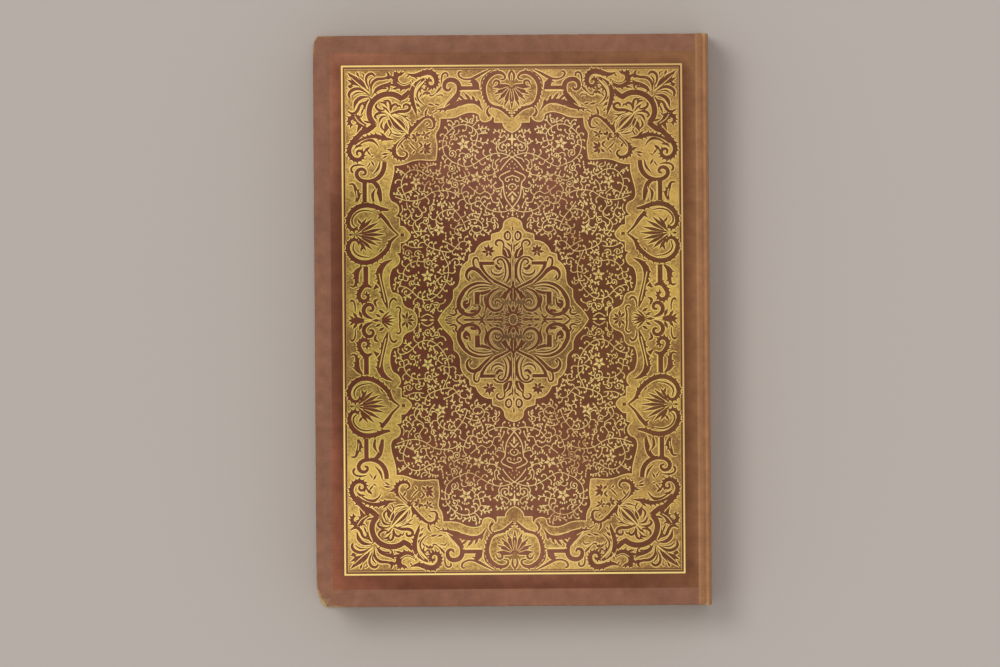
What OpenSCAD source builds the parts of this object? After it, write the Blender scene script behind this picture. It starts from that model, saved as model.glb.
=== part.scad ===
// Cloth-bound hardback diary with a gilt-blocked case.
// It lies flat with its back cover up, head towards +Y and spine towards +X.
// The origin is at the middle of its footprint, on the surface that it lies on.

/* [Book] */
// Height of the covers from head to tail
cover_h = 286; // [240:1:320]
// Width of the book from the fore edge to the round of the spine
book_w = 198; // [180:1:230]
// Thickness of the block of leaves
block_t = 22; // [14:0.5:40]
// Margin by which the covers stand out past the leaves
square_w = 3; // [2:0.5:5]

/* [Covers] */
// Thickness of a millboard
board_t = 2.4; // [1.6:0.1:4]
// Thickness of the book cloth
cloth_t = 0.4; // [0.3:0.05:0.6]
// Width of the cloth that is turned in over the inside of a board
turn_in = 15; // [8:1:22]
// Width of the rubbed corner at the head
head_wear_w = 2.5; // [1:0.5:6]
// Length of the rubbed corner at the head
head_wear_l = 9; // [1:0.5:12]
// Width of the worn corner at the tail
tail_wear_w = 5; // [1:0.5:7]
// Length of the worn corner at the tail
tail_wear_l = 14; // [1:0.5:16]
// Thickness of the endpapers
paper_t = 0.2; // [0.1:0.05:0.4]
// Clearance between a closed cover and the leaves
leaf_gap = 0.2; // [0.1:0.05:0.5]

/* [Spine] */
// Radius of the round of the spine
spine_r = 70; // [55:1:120]
// Depth of the groove between cover and spine
groove_depth = 0.6; // [0.3:0.1:0.9]
// Thickness of the stiff paper inside the spine
inlay_t = 0.6; // [0.3:0.1:0.8]
// Thickness of the gauze on the back of the leaves
mull_t = 0.25; // [0.15:0.05:0.35]
// Thickness of the paper lining over the gauze
lining_t = 0.25; // [0.15:0.05:0.35]
// Number of tapes that the leaves are sewn on
tape_count = 4; // [2:1:4]
// Width of a sewing tape
tape_w = 14; // [8:1:20]
// Thickness of a sewing tape
tape_t = 0.4; // [0.2:0.1:0.6]
// Radius of the bead of a headband
bead_r = 1; // [0.6:0.1:1.2]

/* [Blocking] */
// Depth of the panel that the blocking press leaves in the cloth
panel_depth = 0.15; // [0.12:0.01:0.2]
// Thickness that the gilding is drawn with
gilt_t = 0.1; // [0.05:0.01:0.12]
// Margin of the pressed panel at the fore edge
panel_fore = 8.4; // [5:0.2:12]
// Margin of the pressed panel at the head and the tail
panel_head = 8.8; // [5:0.2:12]
// Margin of the pressed panel at the joint
panel_joint = 2.2; // [1:0.2:6]
// Margin from the long edge of the panel to the middle of the outer gilt line
frame_in_x = 6.5; // [4:0.5:10]
// Margin from the short edge of the panel to the middle of the outer gilt line
frame_in_y = 7.4; // [4:0.2:12]
// Width of the broad outer line
outer_line = 1.4; // [0.8:0.1:2]
// Width of the fine inner line
inner_line = 0.4; // [0.3:0.1:0.8]

/* [Hidden] */
$fn = 96;

cloth_colour = "#8a5f49";
gilt_colour = "#c9a54e";
leaf_colour = "#e9dfc4";
board_colour = "#a58d6b";

// Heights of the layers above the middle of the book
leaf_top = block_t / 2 + paper_t;
paste_low = leaf_top + leaf_gap;
turn_low = paste_low + paper_t;
board_low = turn_low + cloth_t;
board_top = board_low + board_t;
half_t = board_top + cloth_t;

// Ridge between cover and spine, and the hinge line at the edge of the cover
running_gap = 0.3;
ridge_r = 1;
ridge_reach = 1.9;
ridge_z = half_t - running_gap;
ridge_cz = ridge_z - ridge_r;
ridge_in = sqrt(pow(spine_r - ridge_r, 2) - ridge_cz * ridge_cz);
spine_cx = book_w / 2 - spine_r;
ridge_cx = spine_cx + ridge_in;
ridge_a = atan2(ridge_cz, ridge_in);
hinge_x = ridge_cx - ridge_reach;

// Places across the book
fore_x = -book_w / 2;
board_end = hinge_x - running_gap;
paper_end = board_end - 0.2;
block_h = cover_h - 2 * square_w;
block_fore = fore_x + square_w + 0.5;

// Round of the spine, from the cloth outside to the folded leaves inside
glue = 0.08;
cloth_in_r = spine_r - cloth_t;
inlay_out_r = cloth_in_r - glue;
inlay_in_r = inlay_out_r - inlay_t;
fold_out_r = inlay_in_r - glue;
fold_in_r = fold_out_r - cloth_t;
lining_out_r = fold_in_r - running_gap;
mull_out_r = lining_out_r - lining_t - glue;
mull_in_r = mull_out_r - mull_t;
block_r = mull_in_r - glue;
ear_z = ridge_z - groove_depth - cloth_t - running_gap;
inlay_z = ridge_cz - ridge_r;
lining_z = ear_z - 1;

// Points along an arc, and the two halves of a section that is the same above and below
function arc(cx, cy, r, a0, a1, n) =
    [for (i = [0:n]) let (a = a0 + (a1 - a0) * i / n) [cx + r * cos(a), cy + r * sin(a)]];
function arc_to_axis(cx, r, a0, n) = arc(cx, 0, r, a0, a0 / (2 * n + 1), n);
function flip_x(pts) = [for (i = [len(pts) - 1:-1:0]) [-pts[i][0], pts[i][1]]];
function flip_y(pts) = [for (i = [len(pts) - 1:-1:0]) [pts[i][0], -pts[i][1]]];
function reversed(pts) = [for (i = [len(pts) - 1:-1:0]) pts[i]];

// Section of the spine cloth above the middle: groove, ridge and round
groove_steps = 10;
function groove(drop) = [for (i = [0:groove_steps - 1])
    let (u = i / groove_steps)
    [hinge_x + ridge_reach * u, ridge_z - groove_depth * (1 - cos(360 * u)) / 2 - drop]];
function spine_half(inset) = concat(
    groove(inset),
    arc(ridge_cx, ridge_cz, ridge_r - inset, 90, ridge_a, 6),
    arc_to_axis(spine_cx, spine_r - inset, ridge_a * 10 / 11, 10));

// Turns a section drawn across the book into a length along the spine
module along_spine(length, y = 0)
    translate([0, y, half_t])
        rotate([90, 0, 0])
            linear_extrude(height = length, center = true)
                children();

// Slice of a tube round the spine's own centre, cut off at a height above the middle
module round_slice(r_in, r_out, z_max)
    intersection() {
        translate([spine_cx, 0])
            difference() {
                circle(r = r_out, $fn = 360);
                circle(r = r_in, $fn = 360);
            }
        translate([hinge_x - 4, -z_max])
            square([book_w / 2 - hinge_x + 6, 2 * z_max]);
    }

module text_block() {
    spine_a = asin(ear_z / block_r);
    shoulder = [[block_fore, block_t / 2], [hinge_x, block_t / 2], [hinge_x, ear_z]];
    half = concat(shoulder, arc_to_axis(spine_cx, block_r, spine_a, 10));
    fore_a = asin(block_t / 2 / block_r);
    fore_cx = block_fore - block_r * cos(fore_a);
    fore = arc(fore_cx, 0, block_r, -fore_a * 7 / 8, fore_a * 7 / 8, 14);
    color(leaf_colour)
        difference() {
            along_spine(block_h)
                polygon(concat(half, flip_y(half), fore));
            for (i = [1:tape_count])
                along_spine(tape_w + 2 * glue, tape_y(i))
                    round_slice(block_r - tape_t - glue, block_r + 1, lining_z + glue);
        }
}

function tape_y(i) = block_h * (i / (tape_count + 1) - 0.5);

module sewing_tape(i)
    color("#d8cdb0")
        along_spine(tape_w, tape_y(i))
            round_slice(block_r - tape_t, block_r, lining_z);

// Headband: a bead on the edge of the leaves, and its skirt glued down their back
skirt_h = 8;
module endband(side) {
    bead_y = block_h / 2 + bead_r + glue;
    reach_a = asin(block_t / 2 / block_r);
    color("#b9493a") {
        translate([spine_cx, side * bead_y, half_t])
            rotate([90, 0, 0])
                rotate([0, 0, -reach_a])
                    rotate_extrude(angle = 2 * reach_a, $fn = 360)
                        translate([mull_in_r + 0.15 - bead_r, 0])
                            circle(r = bead_r, $fn = 12);
        along_spine(skirt_h, side * (bead_y - skirt_h / 2))
            round_slice(mull_in_r, mull_out_r, block_t / 2);
    }
}

module spine_mull()
    color("#cfc3a2")
        along_spine(block_h - 2 * skirt_h - 1)
            round_slice(mull_in_r, mull_out_r, lining_z);

module spine_lining()
    color("#b08a5a")
        along_spine(block_h - 2)
            round_slice(lining_out_r - lining_t, lining_out_r, lining_z);

module spine_inlay()
    color("#9a7b52")
        along_spine(cover_h - 2 * cloth_t - 2 * glue)
            round_slice(inlay_in_r, inlay_out_r, inlay_z);

// Cloth over the spine, folded in over the inlay at head and tail
module spine_cloth() {
    outer = spine_half(0);
    inner = spine_half(cloth_t);
    color(cloth_colour) {
        along_spine(cover_h)
            polygon(concat(outer, flip_y(outer), reversed(concat(inner, flip_y(inner)))));
        for (side = [-1, 1]) {
            along_spine(cloth_t, side * (cover_h - cloth_t) / 2)
                round_slice(fold_in_r, cloth_in_r + glue, inlay_z);
            along_spine(turn_in, side * (cover_h - turn_in) / 2)
                round_slice(fold_in_r, fold_out_r, inlay_z);
        }
    }
}

// Puts a piece that is drawn above the middle of the book on the back or the front cover
module on_cover(side)
    translate([0, 0, half_t])
        mirror([0, 0, side == "front" ? 1 : 0])
            children();

// Plan of a cover, with its two worn corners at the fore edge
function corner(inset, w, l) =
    let (x0 = fore_x + inset, y1 = cover_h / 2 - inset)
    [for (i = [0:6])
        let (a = 15 * i)
        [x0 + (w - inset) * (1 - sin(a)), y1 - (l - inset) * (1 - cos(a))]];
module cover_plan(inset, reach = 0) {
    x1 = board_end + reach;
    y1 = cover_h / 2 - inset;
    polygon(concat(
        [[x1, -y1], [x1, y1]],
        corner(inset, head_wear_w, head_wear_l),
        flip_y(corner(inset, tail_wear_w, tail_wear_l))));
}

module layer(low, high)
    translate([0, 0, low])
        linear_extrude(height = high - low)
            children();

module board(side)
    color(board_colour)
        on_cover(side)
            layer(board_low, board_top)
                cover_plan(cloth_t);

// Cloth over a board: its face, its three wrapped edges and the turn-ins with their mitres
mitre_gap = 0.3;
module cover_cloth(side)
    color(cloth_colour)
        on_cover(side)
            difference() {
                layer(turn_low, half_t)
                    cover_plan(0);
                layer(board_low, board_top)
                    cover_plan(cloth_t, 1);
                layer(turn_low - 1, board_low)
                    turn_in_window();
                for (m = [0, 1])
                    mirror([0, m, 0])
                        layer(turn_low - 1, board_low)
                            mitre();
                layer(half_t - panel_depth, half_t + 1)
                    pressed_panel();
            }

module turn_in_window()
    translate([fore_x + turn_in, -cover_h / 2 + turn_in])
        square([board_end + 1 - fore_x - turn_in, cover_h - 2 * turn_in]);

module mitre()
    translate([fore_x + turn_in, cover_h / 2 - turn_in])
        rotate(135)
            translate([-1, -mitre_gap / 2])
                square([(turn_in - tail_wear_w) * sqrt(2) + 1, mitre_gap]);

panel_x0 = fore_x + panel_fore;
panel_x1 = board_end - panel_joint;
module pressed_panel()
    translate([panel_x0, -cover_h / 2 + panel_head])
        square([panel_x1 - panel_x0, cover_h - 2 * panel_head]);

// Pastedown: over the turn-ins at its edges, and a step down to the board inside them
module pastedown(side)
    color("#e2d6b8")
        on_cover(side)
            difference() {
                layer(paste_low, board_low)
                    paper_plan();
                difference() {
                    layer(turn_low, board_low + 1)
                        paper_plan(-1);
                    layer(turn_low - 1, board_low + 2)
                        window_inside(glue);
                }
                layer(paste_low - 1, board_low - paper_t)
                    window_inside(glue + paper_t);
            }

module paper_plan(inset = 0)
    translate([block_fore + inset, -block_h / 2 + inset])
        square([paper_end - block_fore - 2 * inset, block_h - 2 * inset]);

module window_inside(inset)
    translate([fore_x + turn_in + inset, -cover_h / 2 + turn_in + inset])
        square([paper_end - fore_x - turn_in - inset - (inset > glue ? paper_t : 0),
                cover_h - 2 * turn_in - 2 * inset]);

module flyleaf(side)
    color(leaf_colour)
        on_cover(side)
            layer(block_t / 2, leaf_top)
                translate([block_fore, -block_h / 2])
                    square([board_end - block_fore, block_h]);

// Gilding, drawn as a thin layer on the floor of the pressed panel.
// The block stands a little towards the fore edge and the head, as it was struck.
block_cx = (panel_x0 + panel_x1) / 2 - 0.4;
block_cy = 0.8;
frame_x = (panel_x1 - panel_x0) / 2 - frame_in_x;
frame_y = cover_h / 2 - panel_head - frame_in_y;
module gilding(side)
    on_cover(side)
        translate([block_cx, block_cy, half_t - panel_depth])
            children();

module leaf_of_gold()
    linear_extrude(height = gilt_t)
        children();

// The motifs are laid out on a block 170 wide and 254 tall, and stretched to the frame
stretch_x = frame_x / 85;
stretch_y = frame_y / 127;
function fitted(pts) = [for (p = pts) [p[0] * stretch_x, p[1] * stretch_y]];

module four_ways()
    for (mx = [0, 1], my = [0, 1])
        mirror([mx, 0, 0])
            mirror([0, my, 0])
                children();

module line_frame(half_x, half_y, w)
    difference() {
        square([2 * half_x + w, 2 * half_y + w], center = true);
        square([2 * half_x - w, 2 * half_y - w], center = true);
    }

line_gap = 0.6;
inner_in = outer_line / 2 + line_gap + inner_line / 2;
band_in = inner_in + inner_line / 2 + line_gap;

module gilt_fillets(side)
    color(gilt_colour)
        gilding(side) {
            leaf_of_gold()
                line_frame(frame_x, frame_y, outer_line);
            leaf_of_gold()
                line_frame(frame_x - inner_in, frame_y - inner_in, inner_line);
        }

// Outline through corner points, each followed by the bulge of the arc that leaves it
function bulged(a, b, bulge) =
    let (d = b - a, side = [-d[1], d[0]] * bulge / 2, n = bulge == 0 ? 1 : abs(bulge) < 0.25 ? 2 : 4)
    [for (i = [0:n - 1]) let (t = i / n) a + d * t + side * 4 * t * (1 - t)];
function traced(nodes) =
    let (pts = [for (q = nodes) [q[0], q[1]]], last = len(nodes) - 1)
    concat([for (i = [0:last - 1]) each bulged(pts[i], pts[i + 1], nodes[i][2])], [pts[last]]);
function whole(quarter) =
    let (right = concat(quarter, [for (i = [len(quarter) - 2:-1:1]) [quarter[i][0], -quarter[i][1]]]),
         foot = [[0, -quarter[0][1]]])
    concat(right, foot, [for (i = [len(right) - 1:-1:1]) [-right[i][0], right[i][1]]]);

// Ribbon along a path, tapering from one width to another
function ribbon(path, w0, w1) =
    let (n = len(path) - 1,
         side = [for (i = [0:n])
             let (d = path[min(i + 1, n)] - path[max(i - 1, 0)])
             [-d[1], d[0]] / norm(d) * (w0 + (w1 - w0) * i / n) / 2])
    concat([for (i = [0:n]) path[i] + side[i]], [for (i = [n:-1:0]) path[i] - side[i]]);
function spiral(c, r0, r1, a0, turn, n) = [for (i = [0:n])
    let (r = r0 + (r1 - r0) * i / n, a = a0 + turn * i / n)
    c + r * [cos(a), sin(a)]];
function petal(base, a, l, w) =
    let (u = [cos(a), sin(a)], v = [-sin(a), cos(a)])
    [base, base + u * l * 0.45 + v * w / 2, base + u * l, base + u * l * 0.45 - v * w / 2];
function fan(base, blades, w) = [for (k = blades)
    let (u = [cos(k[0]), sin(k[0])])
    petal(base + 1.4 * u, k[0], k[1], w)];
function star(c, r, a0) = [for (i = [0:7])
    let (a = a0 + 45 * i)
    c + (i % 2 == 0 ? r : r * 0.4) * [cos(a), sin(a)]];
function bar(c, w, h) =
    [c + [w, h] / 2, c + [-w, h] / 2, c - [w, h] / 2, c + [w, -h] / 2];

// Quarter of the outline of the field that the border keeps clear, from the head to the side
field_quarter = [
    [0, 93.5, -0.3], [4.5, 98.5, 0], [8.7, 98.5, 0], [8.7, 101, 0], [10.2, 101.3, -0.9],
    [16.3, 101.8, 0], [21, 103.4, 0], [28.5, 101, -0.15], [35.7, 100.5, 0], [38, 87, 0],
    [38, 80, 0], [45.5, 80.2, -0.2], [59, 77.5, 0], [58.8, 72, 0.12], [60.5, 59, 0],
    [58.2, 57.7, -0.8], [59, 51, 0], [56, 50.3, 0], [56, 46.5, 0], [51.2, 42, 0],
    [56, 37.7, 0], [56, 33.3, 0], [58.9, 33, -0.75], [60, 26, 0.12], [59.3, 14, 0],
    [57.8, 13.2, -0.3], [54.5, 8.5, 0], [52.6, 6.5, -0.5], [47.6, 0, 0]];

// Strapwork, scrolls and palmettes that are left bare of gold in the border
border_motifs = concat(
    [ribbon(arc(61.6, 103.4, 9, 93, 357, 8), 2.4, 2.4)],
    fan([57, 98.8], [[0, 8], [45, 9], [90, 8]], 2.8),
    fan([69.8, 111.7], [[-25, 7], [10, 9], [45, 13], [80, 9], [115, 7]], 2.8),
    [ribbon([[54, 114.5], [49.5, 118.6], [44, 121.4], [38, 122]], 2.2, 0.6)],
    [ribbon([[73, 95], [76.4, 91], [79.4, 86], [80.2, 81.4], [77.6, 78.8], [75.2, 80.6]], 2.2, 0.8)],
    [ribbon(spiral([32, 115.3], 0.9, 3.4, 90, 330, 6), 0.8, 1.8)],
    [bar([22, 114.9], 8.5, 1.4)],
    [ribbon([[4.6, 119], [8, 121.8], [12, 119.8], [13.4, 114.5], [11.5, 108.5], [2.4, 103]], 1, 1.6)],
    fan([1.4, 116.4], [[-74, 8], [-50, 8], [-26, 6]], 1.6),
    [ribbon([[58, 41.5], [65.5, 32.5], [70.5, 30.2], [76.5, 30.4], [80, 33.6], [80.2, 38.2]], 1, 1.8)],
    [ribbon([[64, 52.6], [70.5, 55.4], [76.5, 55.2], [80, 52], [80.2, 47.4]], 1, 1.8)],
    fan([75.6, 42.8], [[146, 8.5], [180, 9.5], [214, 8.5]], 1.8),
    [ribbon([[73.2, 26], [73.4, 18], [76.4, 14.8], [76.2, 10.6], [73.2, 9.8], [72.4, 12.4]], 1.8, 0.8)],
    [petal([79, 1.2], 172, 12, 2.6)]);

module gilt_border(side)
    color(gilt_colour)
        gilding(side)
            difference() {
                leaf_of_gold()
                    difference() {
                        square(2 * [frame_x - band_in, frame_y - band_in], center = true);
                        polygon(fitted(whole(traced(field_quarter))));
                    }
                four_ways()
                    for (m = border_motifs)
                        bare(m);
            }

module bare(m)
    translate([0, 0, -1])
        linear_extrude(height = 2)
            polygon(fitted(m));

// Quarter of the outline of the medallion, from its upper tip to its side tip
medallion_quarter = [
    [0, 50.5, 0.2], [4.4, 46.5, 0], [9.8, 42, 0], [9.8, 39.5, 0.3], [20, 33.5, 0],
    [26, 26, 0.12], [29.5, 14.5, 0], [30, 10.5, 0], [33.5, 6, 0.12], [37.6, 0, 0]];
medallion_motifs = concat(
    [ribbon([[10.3, 28.2], [17, 28.4], [14.6, 23.8], [6.4, 17.6], [1.8, 14.8]], 1.2, 1.2)],
    [ribbon([[6.2, 27.4], [8, 29.2], [6, 31.4], [3, 29.6], [1.9, 25], [3, 20]], 0.8, 1.2)],
    [ribbon([[18.6, 23.2], [20.4, 25.4], [23, 24.2], [23, 21.2], [20.8, 20.8]], 1.2, 0.8)],
    [ribbon([[11, 16.8], [18.7, 18], [23.8, 14.8], [25.6, 9.8], [24, 5.4], [20.4, 3.8]], 1.2, 1.6)],
    [petal([11.2, 31.6], 76, 4.6, 2.6), petal([29.4, 0.8], 15, 4.4, 1.8)],
    [for (a = [22, 68]) petal([2.6 * cos(a), 3.2 * sin(a)], a, 8, 2.6)]);

module gilt_medallion(side)
    color(gilt_colour)
        gilding(side)
            difference() {
                leaf_of_gold()
                    polygon(fitted(whole(traced(medallion_quarter))));
                four_ways()
                    for (m = medallion_motifs)
                        bare(m);
            }

// Vines and flowers on the field
field_motifs = [
    star([23.8, 88.4], 4.2, 20), star([17.7, 71], 4.4, 90), star([43.3, 22.6], 4.4, 60),
    ribbon([[9, 62], [20, 58], [28, 63], [38, 72], [47, 66]], 0.8, 0.8),
    ribbon([[28, 44], [36, 52], [47, 50], [49, 40], [41, 36]], 0.8, 0.8)];

module gilt_arabesque(side)
    color(gilt_colour)
        gilding(side)
            four_ways()
                for (m = field_motifs)
                    leaf_of_gold()
                        polygon(fitted(m));

text_block();
endband(1);  // headband
endband(-1);  // tailband
for (i = [1:tape_count])
    sewing_tape(i);
spine_mull();
spine_lining();
spine_inlay();
spine_cloth();
flyleaf("back");  // back_flyleaf
flyleaf("front");  // front_flyleaf
board("back");  // back_board
cover_cloth("back");  // back_cloth
pastedown("back");  // back_pastedown
gilt_fillets("back");  // back_gilt_fillets
gilt_border("back");  // back_gilt_border
gilt_medallion("back");  // back_gilt_medallion
gilt_arabesque("back");  // back_gilt_arabesque
board("front");  // front_board
cover_cloth("front");  // front_cloth
pastedown("front");  // front_pastedown
gilt_fillets("front");  // front_gilt_fillets
gilt_border("front");  // front_gilt_border
gilt_medallion("front");  // front_gilt_medallion
gilt_arabesque("front");  // front_gilt_arabesque
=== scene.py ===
import math
import random

import bmesh
import bpy
from mathutils import Matrix, Vector, noise


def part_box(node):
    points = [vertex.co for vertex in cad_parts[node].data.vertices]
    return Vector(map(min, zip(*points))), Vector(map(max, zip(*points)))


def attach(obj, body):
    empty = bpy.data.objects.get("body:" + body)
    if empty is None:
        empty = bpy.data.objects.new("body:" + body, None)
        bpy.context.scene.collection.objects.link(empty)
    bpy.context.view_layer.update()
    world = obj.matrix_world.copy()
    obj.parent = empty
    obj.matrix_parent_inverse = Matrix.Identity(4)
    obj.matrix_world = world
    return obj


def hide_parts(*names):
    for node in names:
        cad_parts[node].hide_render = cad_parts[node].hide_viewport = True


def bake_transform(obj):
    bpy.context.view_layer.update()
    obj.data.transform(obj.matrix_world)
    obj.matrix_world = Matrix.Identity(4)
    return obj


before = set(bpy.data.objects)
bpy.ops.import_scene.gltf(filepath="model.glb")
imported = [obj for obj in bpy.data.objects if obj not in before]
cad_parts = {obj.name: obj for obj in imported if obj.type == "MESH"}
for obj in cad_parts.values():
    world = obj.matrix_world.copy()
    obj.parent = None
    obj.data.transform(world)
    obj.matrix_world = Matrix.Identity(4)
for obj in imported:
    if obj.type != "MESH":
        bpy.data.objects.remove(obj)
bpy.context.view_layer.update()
mm = 0.001
scene = bpy.context.scene

# The CAD pieces give every size that the looks are fitted to, in millimetres
clothLow, clothHigh = [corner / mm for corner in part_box("back_cloth")]
spineLow, spineHigh = [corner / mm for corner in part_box("spine_cloth")]
filletLow, filletHigh = [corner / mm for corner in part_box("back_gilt_fillets")]
topZ = clothHigh.z
foreX = clothLow.x
boardEnd = clothHigh.x
halfHeight = clothHigh.y
blockX = (filletLow.x + filletHigh.x) / 2
blockY = (filletLow.y + filletHigh.y) / 2 - 0.35  # the block was struck a hair low
floorZ = filletLow.z
hingeX = spineLow.x
turnLow = clothLow.z


# Shared helpers

def linear(text):
    values = [int(text[i:i + 2], 16) / 255 for i in (1, 3, 5)]
    return [v / 12.92 if v <= 0.04045 else ((v + 0.055) / 1.055) ** 2.4 for v in values]


def rgba(text):
    return (*linear(text), 1)


def addNode(material, kind, inputs=None, **settings):
    tree = material.node_tree
    node = tree.nodes.new(kind)
    for name, value in settings.items():
        setattr(node, name, value)
    for name, value in (inputs or {}).items():
        if isinstance(value, bpy.types.NodeSocket):
            tree.links.new(value, node.inputs[name])
        else:
            node.inputs[name].default_value = value
    return node


def newMaterial(name, **inputs):
    material = bpy.data.materials.new(name)
    material.use_nodes = True
    shader = material.node_tree.nodes["Principled BSDF"]
    for key, value in inputs.items():
        shader.inputs[key.replace("_", " ")].default_value = value
    return material, shader


def connect(material, socket, target):
    material.node_tree.links.new(socket, target)


def pieceFrom(name, bm, material, body, replaced=()):
    mesh = bpy.data.meshes.new(name)
    bm.to_mesh(mesh)
    bm.free()
    return finishPiece(bpy.data.objects.new(name, mesh), material, body, replaced)


def finishPiece(obj, material, body, replaced=()):
    if obj.name not in scene.collection.objects:
        scene.collection.objects.link(obj)
    obj.data.materials.clear()
    obj.data.materials.append(material)
    if body:
        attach(obj, body)
    if replaced:
        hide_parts(*replaced)
    return obj


def shadeSmooth(obj, degrees=45):
    obj.data.shade_smooth()
    obj.data.set_sharp_from_angle(angle=math.radians(degrees))


# Cloth colours: soft spots of (x, y, reach, colour), blended by nearness

clothTones = {
    "rim": [(0, 0, 100, "#885D48")],
    "panel": [(-88, 105, 20, "#98624A"), (-88, -95, 22, "#93573F"), (-88, 10, 28, "#724532"), (89, 0, 60, "#865C3C"),
              (0, 131, 30, "#80553B"), (0, -130, 40, "#6B3D2B")],
    "field": [(-70, 108, 20, "#7A4733"), (-70, -105, 20, "#7A4733"), (0, 115, 20, "#86533E"), (0, -118, 20, "#8A5742"),
              (72, 108, 26, "#6A4028"), (72, -105, 26, "#6A4028"), (-70, 0, 40, "#623321"), (70, 0, 40, "#6A4026"),
              (0, 80, 20, "#845340"), (0, -75, 22, "#7C4B35"), (0, 0, 30, "#603422")],
    "joint": [(93, 0, 100, "#9E704D")],
    "gold": [(-72, 108, 18, "#EDCD7E"), (-72, -108, 18, "#EDCD7E"), (0, 112, 22, "#E4C282"), (0, -112, 22, "#E8CA86"),
             (72, 108, 24, "#CAA967"), (72, -108, 24, "#CEAD69"), (-78, 0, 34, "#BAA556"), (78, 0, 34, "#CFB266"),
             (0, 62, 26, "#D9B87A"), (0, -62, 26, "#D4B274"), (0, 0, 15, "#8E7049")],
    "fillet": [(-85, 110, 30, "#F6EEE6"), (-85, -100, 30, "#F6EEE6"), (-85, 10, 30, "#C6B8AD"),
               (84, 0, 70, "#CFBEC1"), (0, -127, 50, "#FFFFFF")],
}
panelEdges = (foreX + 8.4, boardEnd - 2.2, halfHeight - 8.8)


def spotTone(spots, x, y):
    total = Vector((0, 0, 0))
    weights = 0
    for spotX, spotY, reach, colour in spots:
        weight = math.exp(-((x - spotX) ** 2 + (y - spotY) ** 2) / (2 * reach * reach)) + 1e-6
        total += Vector(linear(colour)) * weight
        weights += weight
    return total / weights


def clothTone(x, y):
    inPanel = panelEdges[0] < x < panelEdges[1] and abs(y) < panelEdges[2]
    inGilding = abs(x - blockX) < 86 and abs(y - blockY) < 128
    place = "joint" if x > panelEdges[1] else "field" if inGilding else "panel" if inPanel else "rim"
    return spotTone(clothTones[place], x, y)


def goldTone(x, y):
    # the gilding is brightest at the head-left and tail-left corners, and dull in the middle
    tone = spotTone(clothTones["gold"], x, y)
    best = linear("#EDCD7E")
    return Vector([min(1.0, tone[i] / best[i]) for i in range(3)])


def paintTone(mesh, toneOf=clothTone, rubOf=None):
    tones = mesh.color_attributes.new("tone", "FLOAT_COLOR", "POINT")
    for vertex, entry in zip(mesh.vertices, tones.data):
        x, y, z = vertex.co / mm
        rub = rubOf(x, y, z) if rubOf else 0
        entry.color = (*toneOf(x, y), rub)


# Materials of the binding

print("materials")
clothWeave = {"thread": 0.9, "raised": 0.12, "bare": "#B09468"}


def bookCloth(name):
    # Starched plain-weave cotton: matt, a fine thread grain, threadbare and straw-coloured where rubbed
    material, shader = newMaterial(name, Roughness=0.85, Specular_IOR_Level=0.15)
    place = addNode(material, "ShaderNodeTexCoord").outputs["Object"]
    tone = addNode(material, "ShaderNodeVertexColor", layer_name="tone")
    mottle = addNode(material, "ShaderNodeTexNoise", {"Vector": place, "Scale": 160, "Detail": 6, "Roughness": 0.65})
    cloud = addNode(material, "ShaderNodeTexNoise", {"Vector": place, "Scale": 24, "Detail": 3})
    # a wave at Scale 0.318 repeats about every metre
    wave = {"Vector": place, "Scale": 0.3184 / (clothWeave["thread"] * mm), "Distortion": 1.2, "Detail": 2,
            "Detail Scale": 2}
    warp, weft = [addNode(material, "ShaderNodeTexWave", wave, bands_direction=way).outputs["Fac"] for way in "XY"]
    threads = addNode(material, "ShaderNodeMath", {0: warp, 1: weft}, operation="MULTIPLY")
    shade = addNode(material, "ShaderNodeMapRange", {"Value": mottle.outputs["Fac"], "From Min": 0.25, "From Max": 0.75,
                                                     "To Min": 0.78, "To Max": 1.22})
    shadeCloud = addNode(material, "ShaderNodeMapRange",
                         {"Value": cloud.outputs["Fac"], "From Min": 0.3, "From Max": 0.7,
                                                          "To Min": 0.92, "To Max": 1.08})
    shadeThread = addNode(material, "ShaderNodeMapRange", {"Value": threads.outputs[0], "To Min": 0.92, "To Max": 1.14})
    both = addNode(material, "ShaderNodeMath", {0: shade.outputs[0], 1: shadeCloud.outputs[0]}, operation="MULTIPLY")
    all3 = addNode(material, "ShaderNodeMath", {0: both.outputs[0], 1: shadeThread.outputs[0]}, operation="MULTIPLY")
    dyed = addNode(material, "ShaderNodeVectorMath", {0: tone.outputs["Color"], 1: all3.outputs[0]},
                   operation="MULTIPLY")
    fray = addNode(material, "ShaderNodeTexNoise", {"Vector": place, "Scale": 420, "Detail": 4, "Roughness": 0.7})
    frayed = addNode(material, "ShaderNodeMath", {0: tone.outputs["Alpha"], 1: fray.outputs["Fac"]}, operation="ADD")
    bare = addNode(material, "ShaderNodeMapRange", {"Value": frayed.outputs[0], "From Min": 0.95, "From Max": 1.3})
    colour = addNode(material, "ShaderNodeMix", {"Factor": bare.outputs[0], 6: dyed.outputs[0],
                                                 7: rgba(clothWeave["bare"])},
                     data_type="RGBA")
    connect(material, colour.outputs[2], shader.inputs["Base Color"])
    bump = addNode(material, "ShaderNodeBump", {"Height": threads.outputs[0], "Strength": clothWeave["raised"],
                                                "Distance": 0.1 * mm})
    connect(material, bump.outputs[0], shader.inputs["Normal"])
    return material


hatching = {"pitch": 0.6, "depth": 0.45, "sideFrom": 46}


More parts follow.
